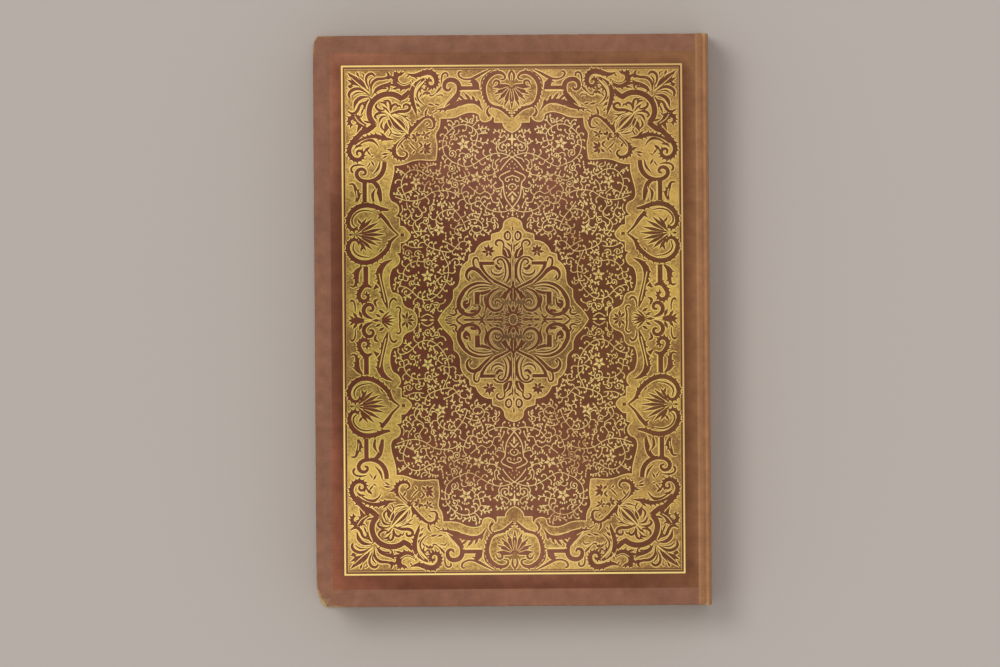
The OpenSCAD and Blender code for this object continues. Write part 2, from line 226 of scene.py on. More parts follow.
def goldLeaf(name, bright, dull, hatch, worn):
    # Gold leaf struck on cloth: half metallic, broken by the cloth's grain, hatched with fine lines
    material, shader = newMaterial(name, Metallic=0.5, Roughness=0.42)
    place = addNode(material, "ShaderNodeTexCoord").outputs["Object"]
    grain = addNode(material, "ShaderNodeTexNoise", {"Vector": place, "Scale": 1000, "Detail": 5, "Roughness": 0.7})
    patches = addNode(material, "ShaderNodeTexNoise", {"Vector": place, "Scale": 45, "Detail": 4})
    level = addNode(material, "ShaderNodeMath", {0: grain.outputs["Fac"], 1: patches.outputs["Fac"]}, operation="ADD")
    kept = addNode(material, "ShaderNodeMapRange", {"Value": level.outputs[0], "From Min": worn + 0.15,
                                                    "From Max": worn + 0.45})
    if hatch:
        split = addNode(material, "ShaderNodeSeparateXYZ", {0: place})
        fromMiddle = addNode(material, "ShaderNodeMath", {0: split.outputs["X"], 1: blockX * mm}, operation="SUBTRACT")
        sideways = addNode(material, "ShaderNodeMath", {0: fromMiddle.outputs[0]}, operation="ABSOLUTE")
        if hatch == "border":
            atSide = addNode(material, "ShaderNodeMath", {0: sideways.outputs[0], 1: hatching["sideFrom"] * mm},
                             operation="GREATER_THAN")
            along = addNode(material, "ShaderNodeMix", {"Factor": atSide.outputs[0], 2: split.outputs["X"],
                                                        3: split.outputs["Y"]})
            line = along.outputs[0]
        else:
            line = split.outputs["Y"]
        turns = addNode(material, "ShaderNodeMath", {0: line, 1: 2 * math.pi / (hatching["pitch"] * mm)},
                        operation="MULTIPLY")
        wave = addNode(material, "ShaderNodeMath", {0: turns.outputs[0]}, operation="SINE")
        lines = addNode(material, "ShaderNodeMapRange", {"Value": wave.outputs[0], "From Min": -0.8, "From Max": 0.8,
                                                         "To Min": hatching["depth"]})
        kept = addNode(material, "ShaderNodeMath", {0: kept.outputs[0], 1: lines.outputs[0]}, operation="MULTIPLY")
    colour = addNode(material, "ShaderNodeMix", {"Factor": kept.outputs[0], 6: rgba(dull), 7: rgba(bright)},
                     data_type="RGBA")
    tone = addNode(material, "ShaderNodeVertexColor", layer_name="tone")
    colour = addNode(material, "ShaderNodeMix", {"Factor": 1, 6: colour.outputs[2], 7: tone.outputs["Color"]},
                     data_type="RGBA", blend_type="MULTIPLY")
    connect(material, colour.outputs[2], shader.inputs["Base Color"])
    bump = addNode(material, "ShaderNodeBump", {"Height": grain.outputs["Fac"], "Strength": 0.15,
                                                "Distance": 0.05 * mm})
    connect(material, bump.outputs[0], shader.inputs["Normal"])
    return material


coverCloth = bookCloth("starched cotton book cloth")
bareCloth = bookCloth("book cloth left bare by the block")
borderGold = goldLeaf("hatched gold leaf of the border", "#FFD56E", "#986A38", "border", worn=0.7)
medallionGold = goldLeaf("hatched gold leaf of the medallion", "#FFD56A", "#8E6532", "medallion", worn=0.7)
brightGold = goldLeaf("burnished gold leaf of the fine lines", "#FFDC80", "#D0A450", None, worn=0.4)
vineGold = goldLeaf("gold leaf of the vines", "#FFE08A", "#B98548", None, worn=0.55)
filletGold = goldLeaf("burnished gold leaf of the fillets", "#FFE68C", "#DDB45C", None, worn=0.3)


# Ornament: strokes of (points, widths) on the upper right quarter, measured from the block's middle

def stroke(points, *widths):
    last = len(points) - 1
    path = []
    for i, (x, y) in enumerate(points):
        place = i / last * (len(widths) - 1)
        k = min(int(place), max(len(widths) - 2, 0))
        width = widths[0] if len(widths) == 1 else widths[k] + (widths[k + 1] - widths[k]) * (place - k)
        path.append((x, y, width))
    return path


def leaf(x0, y0, x1, y1, width, bend=0):
    middle = ((x0 + x1) / 2 - (y1 - y0) * bend, (y0 + y1) / 2 + (x1 - x0) * bend)
    near = (x0 * 0.75 + middle[0] * 0.25, y0 * 0.75 + middle[1] * 0.25)
    return stroke([(x0, y0), near, middle, (x1, y1)], 0.4, width * 0.6, width, 0.25)


def petals(x, y, targets, width, start=1.2):
    found = []
    for endX, endY in targets:
        reach = math.hypot(endX - x, endY - y)
        found.append(leaf(x + (endX - x) * start / reach, y + (endY - y) * start / reach, endX, endY, width))
    return found


fieldEdge = [  # runs between sharp corners of the field's outline
    [(0, 93.5), (2.5, 94.8), (4.3, 97), (4.6, 98.7)],
    [(4.6, 98.7), (8.8, 98.7)],
    [(8.8, 98.7), (8.9, 101.2), (9.9, 101.6), (10.2, 100.5), (12, 99.3), (13.5, 99), (15.3, 99.6), (16, 101),
     (16.2, 102.2), (17.5, 103.3), (20, 103.8), (22, 103.7), (25, 102.8), (28, 101.5), (31, 101), (36, 101)],
    [(36, 101), (36, 99), (36.6, 96), (38, 93.5), (38.2, 91.5), (37.6, 88), (37.6, 85), (38.2, 80)],
    [(38.2, 80), (41, 79.9), (46, 80.2), (50, 79.7), (54, 78.2), (57, 77.6), (59.2, 77.6)],
    [(59.2, 77.6), (59.2, 74.5), (60.2, 70), (61.5, 65), (61.6, 61.5), (60.3, 59.3), (58.6, 58.5), (57.2, 57),
     (56.9, 55), (57.6, 53.2), (59.2, 52)],
    [(59.2, 52), (56.5, 51.2)], [(56.5, 51.2), (56.5, 46.9)],
    [(56.5, 46.9), (54.5, 46.7), (53, 45.2), (51.3, 43), (51.2, 42.3), (53, 39.8), (54.5, 39), (56.3, 38.8)],
    [(56.3, 38.8), (56.3, 34)], [(56.3, 34), (58.6, 33.6)],
    [(58.6, 33.6), (57, 32), (56.6, 30.5), (57.2, 28.4), (58.8, 26.8), (60.2, 26), (61.5, 23), (61.9, 20), (61.4, 16),
     (60.4, 13.7)],
    [(60.4, 13.7), (57.5, 13), (55.7, 11), (55.3, 8.5), (53.5, 6.3), (51, 5.3), (49, 3.5), (48.2, 1.5), (48.1, 0)],
]
medallionEdge = [
    [(0, 51), (2, 50.4), (4.3, 48.6), (4.9, 45.8), (6.5, 43.8)], [(6.5, 43.8), (10.5, 42.6)],
    [(10.5, 42.6), (10.7, 39.4)],
    [(10.7, 39.4), (14, 38.9), (17, 36.8), (19, 33.4)], [(19, 33.4), (21.8, 32.6)], [(21.8, 32.6), (22.2, 29.6)],
    [(22.2, 29.6), (24.6, 27.5), (26.3, 24), (26.5, 20), (27.5, 17), (29.7, 15)], [(29.7, 15), (29.8, 11)],
    [(29.8, 11), (31.3, 8), (33.8, 5.5), (36, 2.6), (37.6, 0)],
]

borderScrolls = [
    # beside the head palmette
    stroke([(14.6, 104.8), (17, 108), (21, 109.2), (25, 108.6), (29, 107.2), (33, 105.7), (37.5, 105.3)],
           0.6, 1.6, 2.2, 2.8, 3, 1.6, 0.5),
    stroke([(26, 115), (27.5, 112), (30.5, 108.5), (34, 105.8)], 1.2, 2.6, 3, 0.6),
    stroke([(27, 112.5), (26.3, 115.5), (27, 118.5), (29.5, 120), (32.3, 119.6), (33.7, 117.2), (33, 115.2),
            (31.2, 115), (30.6, 116.2)], 2.2, 2.4, 2.4, 2.4, 2.2, 2, 1.6, 1.2, 1),
    stroke([(16.5, 115.9), (25.5, 115.9)], 1.9),
    stroke([(11.5, 124.8), (15, 123), (18, 121.3), (21, 120.3), (24.5, 120.6), (26.5, 122.4), (26.2, 123.9), (25, 124)],
           0.6, 1.2, 1.6, 1, 0.9, 1.1, 1, 0.8),
    leaf(20, 120.6, 16, 114.8, 3.6), leaf(17.6, 119.8, 21.8, 118.4, 1),
    stroke([(5.6, 119.9), (3.4, 120.6), (3.7, 122.3), (6.5, 123.6), (10, 122.6), (12.9, 119.5), (13.9, 115.5),
            (13.2, 111.5), (11.8, 108.4), (9.5, 106.8), (6, 105.8), (3, 103.6), (0.8, 101.2)],
           0.8, 1, 1.3, 1.8, 2.2, 2.3, 2.2, 2, 1.8, 1.4, 1.6, 1.6, 1),
    stroke([(10, 124.5), (14.6, 120.5), (15.4, 116)], 0.5, 0.8, 0.5),
    *petals(0, 117.2, [(0.01, 105.4), (3.8, 106.6), (6.9, 109.4), (8.9, 112.6), (9.6, 116.2)], 2.5),
    stroke([(9.4, 117.6), (8, 119.5), (6.2, 118.7), (7, 117.2)], 0.6, 1.2, 1.2, 0.6),
    stroke([(0, 124.6), (1.2, 122.4), (1, 119.6)], 0.8, 1.3, 0.7),
    stroke([(32, 121.6), (32.2, 123.2), (34, 123.3), (34.9, 121.5), (35, 118.6)], 1, 1, 1, 0.9, 0.6),
    stroke([(35.2, 116.6), (36.2, 115.2), (37.4, 114)], 0.9, 1.1, 0.7),
    stroke([(36.3, 115.9), (38.5, 112.8), (40.5, 112)], 0.5, 0.8, 0.6),
    stroke([(34.2, 111.5), (35, 112.5), (37, 112.2)], 0.6, 0.8, 0.5),
    stroke([(11, 101.6), (12.4, 104), (11.2, 106.6)], 1.6, 1.2, 0.5),
    leaf(18.4, 109.2, 20, 112.4, 1.4), leaf(20.6, 109.8, 23.8, 113.5, 1.5), leaf(23.6, 109.8, 27, 112.8, 1.4),
    leaf(15.8, 107.6, 16.8, 110.4, 1.1),
    leaf(36, 107.4, 38.8, 108.2, 1.1), leaf(39, 107.4, 42.4, 108.2, 1.2),
    stroke([(37.6, 104.6), (39.6, 103.4)], 0.8, 0.5),
    # great scroll above the corner arch
    stroke([(52, 123.2), (48.5, 122.3), (45, 123.2), (41, 123.9), (38.5, 122.3), (37.6, 119.5), (38.3, 117.3),
            (40.3, 116.6), (42, 117.7), (42, 119.5), (40.8, 120.1), (40, 119.2)],
           0.5, 2, 2.6, 2.8, 2.6, 2.3, 2, 1.7, 1.7, 1.5, 1.3, 1),
    stroke([(43.5, 120.8), (47, 118.5), (49.8, 114.5), (49.9, 110.5), (48.8, 106.5), (47.6, 102.5)],
           1.2, 2, 2.6, 2.2, 1.8, 0.6),
    stroke([(42.5, 119.8), (45.5, 116.5), (47.3, 113), (46.5, 110), (44, 107.5)], 0.5, 0.8, 0.9, 0.9, 0.5),
    *petals(42.4, 114.6, [(40.2, 116), (40.6, 112.8), (43, 117), (44.6, 115.6), (44.8, 112.4), (42.4, 111.8)],
            1.2, 0.5),
    leaf(45, 113.2, 46.2, 111.2, 0.9), leaf(48.8, 108.8, 45.6, 106.4, 1.5), leaf(48.4, 106, 45.4, 103.8, 1.3),
    leaf(49.6, 112.4, 47.2, 109.4, 1.2),
    stroke([(40.4, 112.6), (41, 111.6)], 1, 1), stroke([(44.4, 116.2), (45.8, 115.2), (45.4, 113.8)], 0.7, 0.9, 0.7),
    # corner arch, with its two cusps
    stroke([(51.2, 114.8), (53.2, 112.3), (56, 110.5)], 1.6, 2.7, 2.2),
    stroke([(55.2, 110.8), (57.4, 112.3), (61, 113.2), (65.5, 112.4), (69.3, 109.6), (71.2, 105.5), (71, 101.5),
            (69, 98.2)], 2.75),
    stroke([(68, 97.8), (70, 96.7), (72.4, 94.9), (75, 93.4)], 1.6, 2.7, 2.7, 1.4),
    # curled acanthus leaf between them
    stroke([(49.4, 119.8), (51.2, 117.8), (54.2, 116.8), (56.8, 117.8), (58.1, 120.2), (57.2, 122.5), (54.8, 122.8)],
           1, 2.2, 2.9, 3.1, 2.9, 2.4, 0.8),
    leaf(56.6, 116.2, 59.9, 115.6, 1.3), leaf(58.4, 118, 60.9, 117.6, 1.4), leaf(58.6, 121.4, 60.6, 121.8, 1.3),
    leaf(57.4, 122.8, 59, 124.4, 1.4),
    leaf(55.6, 122.6, 53.6, 124.2, 1.2), leaf(54.8, 116, 55.8, 114.4, 1.1), leaf(52, 117.2, 52.4, 115.4, 1.1),
    leaf(51.4, 122.6, 52.6, 121.2, 0.9),
    # corner palmette
    leaf(72.6, 115.6, 76.4, 121.6, 1.7), leaf(74.2, 116.4, 82.2, 124.2, 3.4), leaf(76.5, 117.5, 82.4, 120.6, 2),
    leaf(76.5, 122, 77.6, 124.4, 1.3), leaf(79.4, 117, 82.3, 117.4, 1.5),
    stroke([(70.3, 114.5), (70, 118), (67.5, 120.5), (63.5, 121), (61.5, 122.3), (62.2, 124)],
           0.6, 1.4, 1.6, 1.3, 1.4, 1),
    stroke([(63.2, 121.2), (61, 121.2), (60.2, 122.6)], 1.2, 1.2, 0.6),
    stroke([(71.2, 116), (72.7, 119.5), (72.2, 122.3), (69.9, 123.4), (68.4, 122.2)], 0.5, 1.1, 1.5, 1.4, 1),
    stroke([(71, 117), (71, 119.6), (69.6, 121.4)], 0.4, 0.9, 0.6),
    stroke([(72.5, 113.8), (76, 115.8), (79.6, 115.3), (81.4, 113.2), (81, 111.3)], 0.6, 1.5, 1.7, 1.5, 1),
    stroke([(74, 113.8), (77.5, 113.9), (79.6, 112.4)], 0.4, 0.9, 0.6),
    stroke([(72, 111.8), (75.5, 111.4), (78, 109.2), (78.9, 106)], 0.6, 1.8, 2, 0.6),
    stroke([(73, 109.5), (75.8, 108), (77.3, 104.8), (79.6, 103.5), (82, 104.6)], 0.5, 1.4, 1.6, 1.3, 0.8),
    stroke([(71.6, 110.6), (73.2, 108.2), (73.4, 105.6)], 0.8, 1.4, 0.5), leaf(74, 106.5, 75.6, 102.6, 1.1),
    stroke([(69.2, 113.2), (67.5, 115.8), (64.5, 117.3), (61.8, 118.4)], 0.5, 1.3, 1.5, 0.8),
    stroke([(68.3, 113.8), (66, 115.8), (62.6, 116)], 0.4, 1.2, 0.9), leaf(62.4, 117.4, 60.2, 119.6, 1.2),
    leaf(61.6, 118, 60.6, 116.4, 1),
    # flower inside the arch: a striped bud, and curled petals round its tip
    leaf(52.4, 93.6, 61.8, 103.2, 6.6), leaf(60.8, 100.8, 64, 93.4, 2.9),
    stroke([(60, 100.6), (60.9, 97), (60.4, 94)], 0.6, 1.5, 0.5),
    stroke([(64.4, 99.8), (65.4, 97), (64, 95)], 0.5, 1.2, 0.7),
    stroke([(53, 93.4), (57, 92.6), (60.4, 93.6)], 0.4, 0.9, 0.4),
    stroke([(60.6, 103.2), (56.5, 104.4), (52.2, 104.8), (51, 106.4), (52.4, 107.9), (54, 107.4), (54, 106.2)],
           0.8, 1.6, 1.7, 1.4, 1.3, 1.1, 0.8),
    leaf(58.4, 103.4, 51, 102.2, 1.5, 0.12), leaf(55, 101.6, 50.8, 99.4, 1.1),
    stroke([(51.4, 98.6), (50.8, 96.6), (51.6, 94.8)], 0.5, 0.9, 0.5),
    leaf(61.4, 103.8, 64.9, 107.4, 1.7),
    stroke([(60.6, 104.6), (59.6, 107.4), (57.8, 108), (57, 106.8)], 0.7, 1.3, 1.2, 0.8),
    stroke([(61, 105.2), (60.8, 108.4), (62.2, 110), (63.4, 109.2)], 0.6, 1.3, 1.1, 0.7),
    stroke([(62.4, 107), (63.8, 108.8), (65.6, 109)], 0.6, 1.2, 0.8),
    stroke([(63.6, 105), (66.4, 105.2), (68, 107), (67.4, 108.2)], 0.6, 1.4, 1.2, 0.8),
    stroke([(63.4, 103.6), (66.6, 103.6), (68.5, 101.9), (67.6, 100.8)], 0.6, 1.4, 1.2, 0.8),
    stroke([(62.6, 102.2), (65.2, 101.6), (66.4, 99.4)], 0.5, 1.3, 0.9),
    # stem that leaves the corner arch towards the field's corner
    stroke([(42, 95.8), (39.5, 96), (38.9, 98.6), (40, 100.9), (43, 101.4), (46, 99.5), (49, 96.5), (51.6, 93.4),
            (54.5, 90.5), (57.5, 87.5), (59, 85), (58.6, 82.7), (56, 81), (53.3, 81.4), (52.5, 83.3), (54, 84.6)],
           0.7, 1.1, 1.5, 1.5, 1.2, 1.6, 1.8, 1.6, 1.6, 2.2, 2.4, 2, 1.6, 1.4, 1.1, 0.8),
    stroke([(43.2, 102), (43, 104), (42, 105.8)], 0.9, 1.2, 0.5), leaf(59.4, 85, 62.8, 85.6, 1.3),
    leaf(41.6, 98.8, 43.4, 97.2, 1), leaf(45.6, 98.6, 48.6, 99.6, 0.9),
    *petals(43.4, 92.6, [(40.4, 94), (41.2, 91.2), (43.6, 90.2), (45.6, 92.6), (44.4, 94.6)], 1.2, 0.4),
    *petals(47.8, 91.6, [(45.6, 93.2), (47.4, 94.2), (50.2, 93), (50.4, 90.6), (48.4, 89)], 1.4, 0.5),
    stroke([(46.4, 88.8), (45.2, 87.4), (46.4, 86)], 1, 1.1, 0.6),
    stroke([(51.2, 90.6), (52.4, 92), (52.2, 94)], 0.9, 0.9, 0.4),
    *petals(44, 85.4, [(40.3, 88.7), (40, 86), (40.4, 83.2), (43, 82.6), (46.4, 83.2), (43.2, 88.8)], 1.5, 0.7),
    stroke([(48, 85), (49.6, 86.4), (51.4, 88.6)], 0.6, 0.9, 0.5), leaf(48.6, 84.6, 50, 82.8, 1),
    leaf(55.6, 88, 54.2, 85.6, 1.2), leaf(62, 83.4, 65.4, 83, 1.2), leaf(62.4, 82.4, 65, 80.8, 1),
    # side scroll below the corner
    stroke([(59.4, 90.4), (64, 90.9), (67.5, 92), (71.5, 91.8), (75.5, 90.4), (79, 88)], 0.6, 2, 2.3, 1.5, 1.3, 1.3),
    stroke([(66.6, 86.6), (68.4, 89), (71.5, 90), (75, 88.9), (77.4, 86.8)], 0.4, 1, 1.1, 0.9, 0.5),
    leaf(62.6, 91.2, 66.2, 94.2, 1.2),
    stroke([(72.5, 96.5), (75, 94), (77.5, 91.5), (80.5, 88), (81.5, 85), (80.5, 82), (78, 80.4), (75.4, 81.3),
            (74.6, 83.3), (76, 84.9), (77.6, 84.2), (77.2, 82.6)],
           1.6, 2.6, 2.6, 2.4, 2.3, 2.2, 2.2, 1.8, 1.6, 1.4, 1.2, 1),
    stroke([(73, 97.4), (76, 98.8), (77.6, 101.2), (80.6, 101.2), (81.2, 98.9), (79.7, 97.6)],
           1.6, 3, 2.8, 2.2, 1.7, 1),
    stroke([(75.6, 98.6), (76.4, 95.8), (77.6, 92.6)], 2.6, 2, 0.8), leaf(75.8, 98.6, 72.8, 94.2, 2),
    leaf(74, 99.8, 70.6, 98.6, 1.2),
    stroke([(67.5, 88), (70, 90.3), (74, 89.8)], 0.5, 1.2, 0.6), leaf(74.8, 87.4, 79, 85.4, 1.4, 0.2),
    leaf(71.2, 86.8, 74.2, 84.2, 1.6), leaf(72.6, 85, 70.4, 82.2, 1),
    leaf(69, 82.6, 70.6, 81.6, 0.8), stroke([(61.4, 92.2), (60.2, 94.4)], 0.9, 0.5),
    # scroll under it, and the shaft to the half-way arch
    stroke([(63.8, 79.3), (64.3, 75.5), (66.3, 72), (69.5, 70), (73.5, 69.6), (76.8, 71), (77.8, 73.7), (76.2, 75.6),
            (73.9, 75.2), (73.4, 73.4), (74.8, 72.9)], 2.2, 2.4, 2.3, 2, 2, 2, 2, 1.8, 1.5, 1.2, 1),
    stroke([(66, 79.5), (67, 76), (69.5, 73)], 0.5, 1.3, 0.5),
    stroke([(74, 77.5), (77, 77.8), (80, 76.8), (80.4, 74.8), (79.6, 74)], 0.5, 1, 1, 1.2, 1),
    leaf(69, 77.2, 70.6, 80, 1.1), stroke([(71, 78.6), (72.4, 76.6)], 0.8, 0.5),
    stroke([(73.9, 69.4), (73.9, 59)], 2.2),
    stroke([(78, 59.5), (77.2, 62.4), (78.4, 65.6), (79.6, 68.2), (81.4, 68.2)], 1.4, 2.6, 1.8, 1.1, 0.8),
    stroke([(65.8, 59.5), (66.6, 64), (68, 68), (70.5, 69.5)], 1.4, 2.6, 2.4, 1.2),
    stroke([(69.4, 59.4), (69.9, 63), (68.6, 65.6)], 1, 1.6, 0.5),
    # half-way arch
    stroke([(62, 55.2), (65, 55.6), (69, 57), (74, 57.6), (79, 55.6), (81.9, 51.5), (82, 47.6), (79.7, 45.4),
            (77.6, 46.6)], 1.2, 2, 2.3, 2.5, 2.5, 2.3, 2, 1.7, 1.2),
    stroke([(70, 54.5), (75, 55), (79.3, 52.5), (80.2, 48.7), (78.6, 46.9)], 0.5, 0.8, 0.9, 0.9, 0.6),
    stroke([(66.5, 53.5), (63, 49.5), (61, 46.5), (57.4, 42.9)], 2, 1.9, 1.3, 0.8),
    stroke([(57.4, 42.5), (61, 39.5), (62.5, 36.2), (65.5, 32.8), (70, 29.8), (75, 29), (79.5, 30.8), (82.2, 34.8),
            (82, 38.3), (79.6, 40.5), (77.4, 39.5), (77, 38)], 0.8, 1.6, 2.2, 2.3, 2.4, 2.4, 2.4, 2.3, 2, 1.7, 1.3, 1),
    stroke([(72, 31.5), (77, 32.5), (79.8, 35.5), (79.3, 38.6)], 0.5, 0.9, 0.9, 0.6),
    stroke([(55.2, 43.4), (55.2, 42)], 1.9),
    *petals(78.8, 42.9, [(74, 47.4), (72.4, 44.4), (72.4, 41.4), (74, 38.4)], 1.2, 1.4),
    *petals(78.6, 42.9, [(73, 51.2), (69.8, 51.2), (66.8, 49.2), (64.6, 46), (63.6, 42.9), (65.2, 39.8), (67, 37.2),
                         (70, 35.2), (73.2, 34.6)], 1.7, 3.4),
    leaf(80.2, 42.9, 82.2, 42.9, 1.4), leaf(65.4, 52.6, 67.6, 50.6, 1.2), leaf(65.2, 36, 66.8, 34, 1),
    leaf(77.4, 50.6, 75.6, 48, 1.4), leaf(76, 34.6, 75, 37.6, 1.4),
    # below the arch
    stroke([(60.5, 30.3), (64.5, 28), (66.8, 24), (66.4, 20), (65.6, 15.5), (64, 10), (62.8, 6)],
           0.6, 2.4, 3.4, 2.4, 2.8, 2.4, 0.8),
    stroke([(66.6, 21), (67.8, 17.6), (69.6, 15.6)], 1.2, 2.2, 1), stroke([(73.6, 27), (73.6, 17.5)], 2.4),
    stroke([(70.8, 16.6), (73.8, 17.6), (76.3, 15), (77.2, 12), (75.6, 9.8), (73.2, 10.2), (72.6, 12.3), (74, 13.3)],
           1, 2.4, 2.2, 2.2, 2.1, 1.8, 1.5, 1.2),
    stroke([(67.6, 10.6), (69.2, 9.6), (68.4, 7)], 0.8, 1.6, 0.8),
    stroke([(72, 5), (70.6, 4.9), (70.1, 6.6), (71.6, 8), (73.9, 7.2), (74.8, 4.7), (73.4, 2.3), (70.5, 1)],
           1, 1.3, 1.6, 1.8, 2.1, 2.1, 1.9, 0.8),
    stroke([(75.5, 27), (78.2, 24), (78.2, 20), (79.6, 17), (81.4, 17.4)], 0.8, 3, 2, 1.1, 0.8),
    stroke([(61.8, 6), (61.3, 9.5), (59.6, 10.9), (58.3, 9.8)], 0.5, 1, 1.2, 1),
    stroke([(57, 3.5), (56.3, 5.4), (57.6, 6.7), (58.6, 6)], 0.6, 0.9, 0.9, 0.7),
    stroke([(79, 4.5), (79.3, 8.5), (80.7, 10.2), (81.4, 9.4)], 0.6, 0.9, 1, 0.9),
    # middle of the side
    *petals(53.4, 0, [(49.2, 0), (50.2, 2.8), (53, 4.4), (55.8, 3.2)], 1.5, 0.9),
    stroke([(56.6, 0), (56.8, 2.6), (56.2, 4.6)], 1, 0.9, 0.5),
    *petals(66.6, 0, [(59, 1), (59.8, 3), (61.6, 4.8)], 1.1, 1), leaf(66.8, 0, 70.4, 0, 1.6),
    leaf(64.6, 3.6, 67.4, 5.4, 1.6), leaf(66.4, 1.8, 69, 3.2, 1.5),
    stroke([(74.8, 0), (78.6, 0), (82.2, 0)], 2, 3.8, 0.4), leaf(75.6, 1.4, 77.2, 5, 1.7),
    leaf(78, 1.2, 80.2, 4.2, 1.6), leaf(79.6, 0.6, 82, 2.6, 1.2),
]
borderVeins = [
    stroke([(0.5, 115.4), (1.4, 110.4), (2, 106.4)], 0.3), stroke([(1.2, 115.6), (3.6, 111), (5.6, 107.6)], 0.3),
    stroke([(1.6, 116), (5, 113), (8.2, 110.6)], 0.3),
    stroke([(2, 116.4), (6, 115.2), (9.4, 114.4)], 0.3), stroke([(-0.3, 108.6), (0.3, 108.6)], 0.7),
    stroke([(3.1, 109.2), (3.7, 109.2)], 0.6),
    stroke([(5.6, 111.4), (6.2, 111.4)], 0.6), stroke([(7, 114), (7.6, 114)], 0.6), stroke([(0, 114), (0, 110.4)], 0.3),
    stroke([(52.4, 93.6), (57, 98.4), (62, 103.6)], 0.4, 0.65, 0.4),
    stroke([(52.6, 94.6), (54.2, 98.9), (60, 102.7)], 0.35), stroke([(53.4, 94), (58.2, 95.9), (61.5, 101.4)], 0.35),
    stroke([(52.2, 93.8), (51.7, 97.2), (54, 101.2), (59, 103.2)], 0.5),
    stroke([(52.8, 93.4), (57, 93.3), (61, 96.2), (62.8, 100.8)], 0.5),
    stroke([(34.5, 113.4), (37.2, 113.4), (40, 111.3), (43, 112.6), (44.6, 111.2)], 0.5),
    stroke([(29, 113.6), (31, 110.4), (34.6, 106.8)], 0.45),
    stroke([(30.5, 112.4), (33, 109.2), (36.4, 107)], 0.4),
    stroke([(45.4, 119.6), (47.6, 117), (48.7, 113), (48.2, 108.6), (46.8, 104)], 0.4),
    stroke([(53.6, 91.6), (57, 88), (57.8, 85), (56.4, 82.6)], 0.4),
    stroke([(50.6, 118.6), (54, 117.4), (57.2, 119)], 0.35),
    stroke([(73.8, 97.6), (76.8, 99.6), (78.6, 102.2)], 0.4), stroke([(2, 105), (6, 107.4), (10, 108.6)], 0.4),
    stroke([(71, 113.6), (75.5, 117.2), (80.6, 121.8)], 0.7, 0.5, 0.3),
    stroke([(51.8, 93.2), (57.5, 99), (63.6, 105.4)], 0.7, 1, 0.5),
    stroke([(70, 19.5), (67, 17), (66.5, 14.5)], 0.5), stroke([(66.2, 57.8), (68.2, 62), (67.6, 66)], 0.4),
    stroke([(67, 23.5), (65.4, 16), (63.8, 9)], 0.5),
    stroke([(70.6, 0), (74.4, 0)], 0.8), stroke([(40.6, 121.8), (45, 121.2), (50.6, 117.6)], 0.4, 0.6, 0.4),
    stroke([(20, 107.4), (27, 106.6)], 0.3),
    stroke([(77.6, 61.4), (78, 65)], 0.4), stroke([(71.9, 27), (71.9, 18)], 0.6),
    stroke([(72.2, 69), (72.2, 59.6)], 0.5), stroke([(16.6, 114.4), (26, 114.4)], 0.6),
    stroke([(48.6, 116.6), (50.4, 119.8)], 0.4), stroke([(74.8, 96.8), (78, 93)], 0.4),
    stroke([(31, 108), (34.4, 106)], 0.35),
]
borderScrolls += [
    stroke([(75.4, 123.4), (74, 123), (74.2, 121.6)], 0.5, 0.8, 0.4),
    stroke([(78.2, 118.4), (80.4, 117.7), (81.2, 116.5), (80, 116.5)], 0.6, 1, 0.8, 0.4),
    stroke([(63.8, 116.8), (61.9, 117), (61.3, 115.6), (62.6, 114.7)], 0.8, 1, 0.9, 0.5),
    stroke([(77, 102.7), (75.6, 101.9), (74.4, 103.1)], 0.5, 0.9, 0.4),
    stroke([(74.8, 108.8), (73.6, 107), (74.6, 105.6)], 0.7, 1.1, 0.5),
    stroke([(71.6, 111.8), (70.4, 110.4), (71.2, 109.6)], 0.5, 0.8, 0.4),
    leaf(68.6, 114.2, 67, 113, 0.7), leaf(60.6, 118.8, 60.4, 117.2, 0.9),
    stroke([(64.2, 110.2), (63, 109.6), (62.8, 108.4)], 0.5, 0.9, 0.4),
    stroke([(67.2, 105.6), (66.3, 104.2), (67, 102.8)], 0.5, 0.9, 0.4),
    stroke([(57.6, 106.4), (56.2, 107.4), (55.4, 106)], 0.5, 0.9, 0.4), leaf(56, 102.8, 53, 101.4, 1),
]


def teeth(path):
    # the leafy scrolls are cut into points along the outside of each bend
    found = []
    for (ax, ay, _), (bx, by, width), (cx, cy, _) in zip(path, path[1:], path[2:]):
        turn = (bx - ax) * (cy - by) - (by - ay) * (cx - bx)
        if width < 1.5 or abs(turn) < 0.8:
            continue
        side = -1 if turn > 0 else 1
        for x, y, angle in ((bx, by, math.atan2(cy - ay, cx - ax)),
                            ((bx + cx) / 2, (by + cy) / 2, math.atan2(cy - by, cx - bx))):
            angle += side * math.radians(58)
            reach = width / 2 + 1.2
            found.append(leaf(x, y, x + reach * math.cos(angle), y + reach * math.sin(angle), 1))
    return found


for path in borderScrolls[:]:
    widths = [point[2] for point in path]
    if len(path) > 4 and max(widths) >= 2.2 and widths[0] < 0.75 * max(widths):
        borderScrolls += teeth(path)

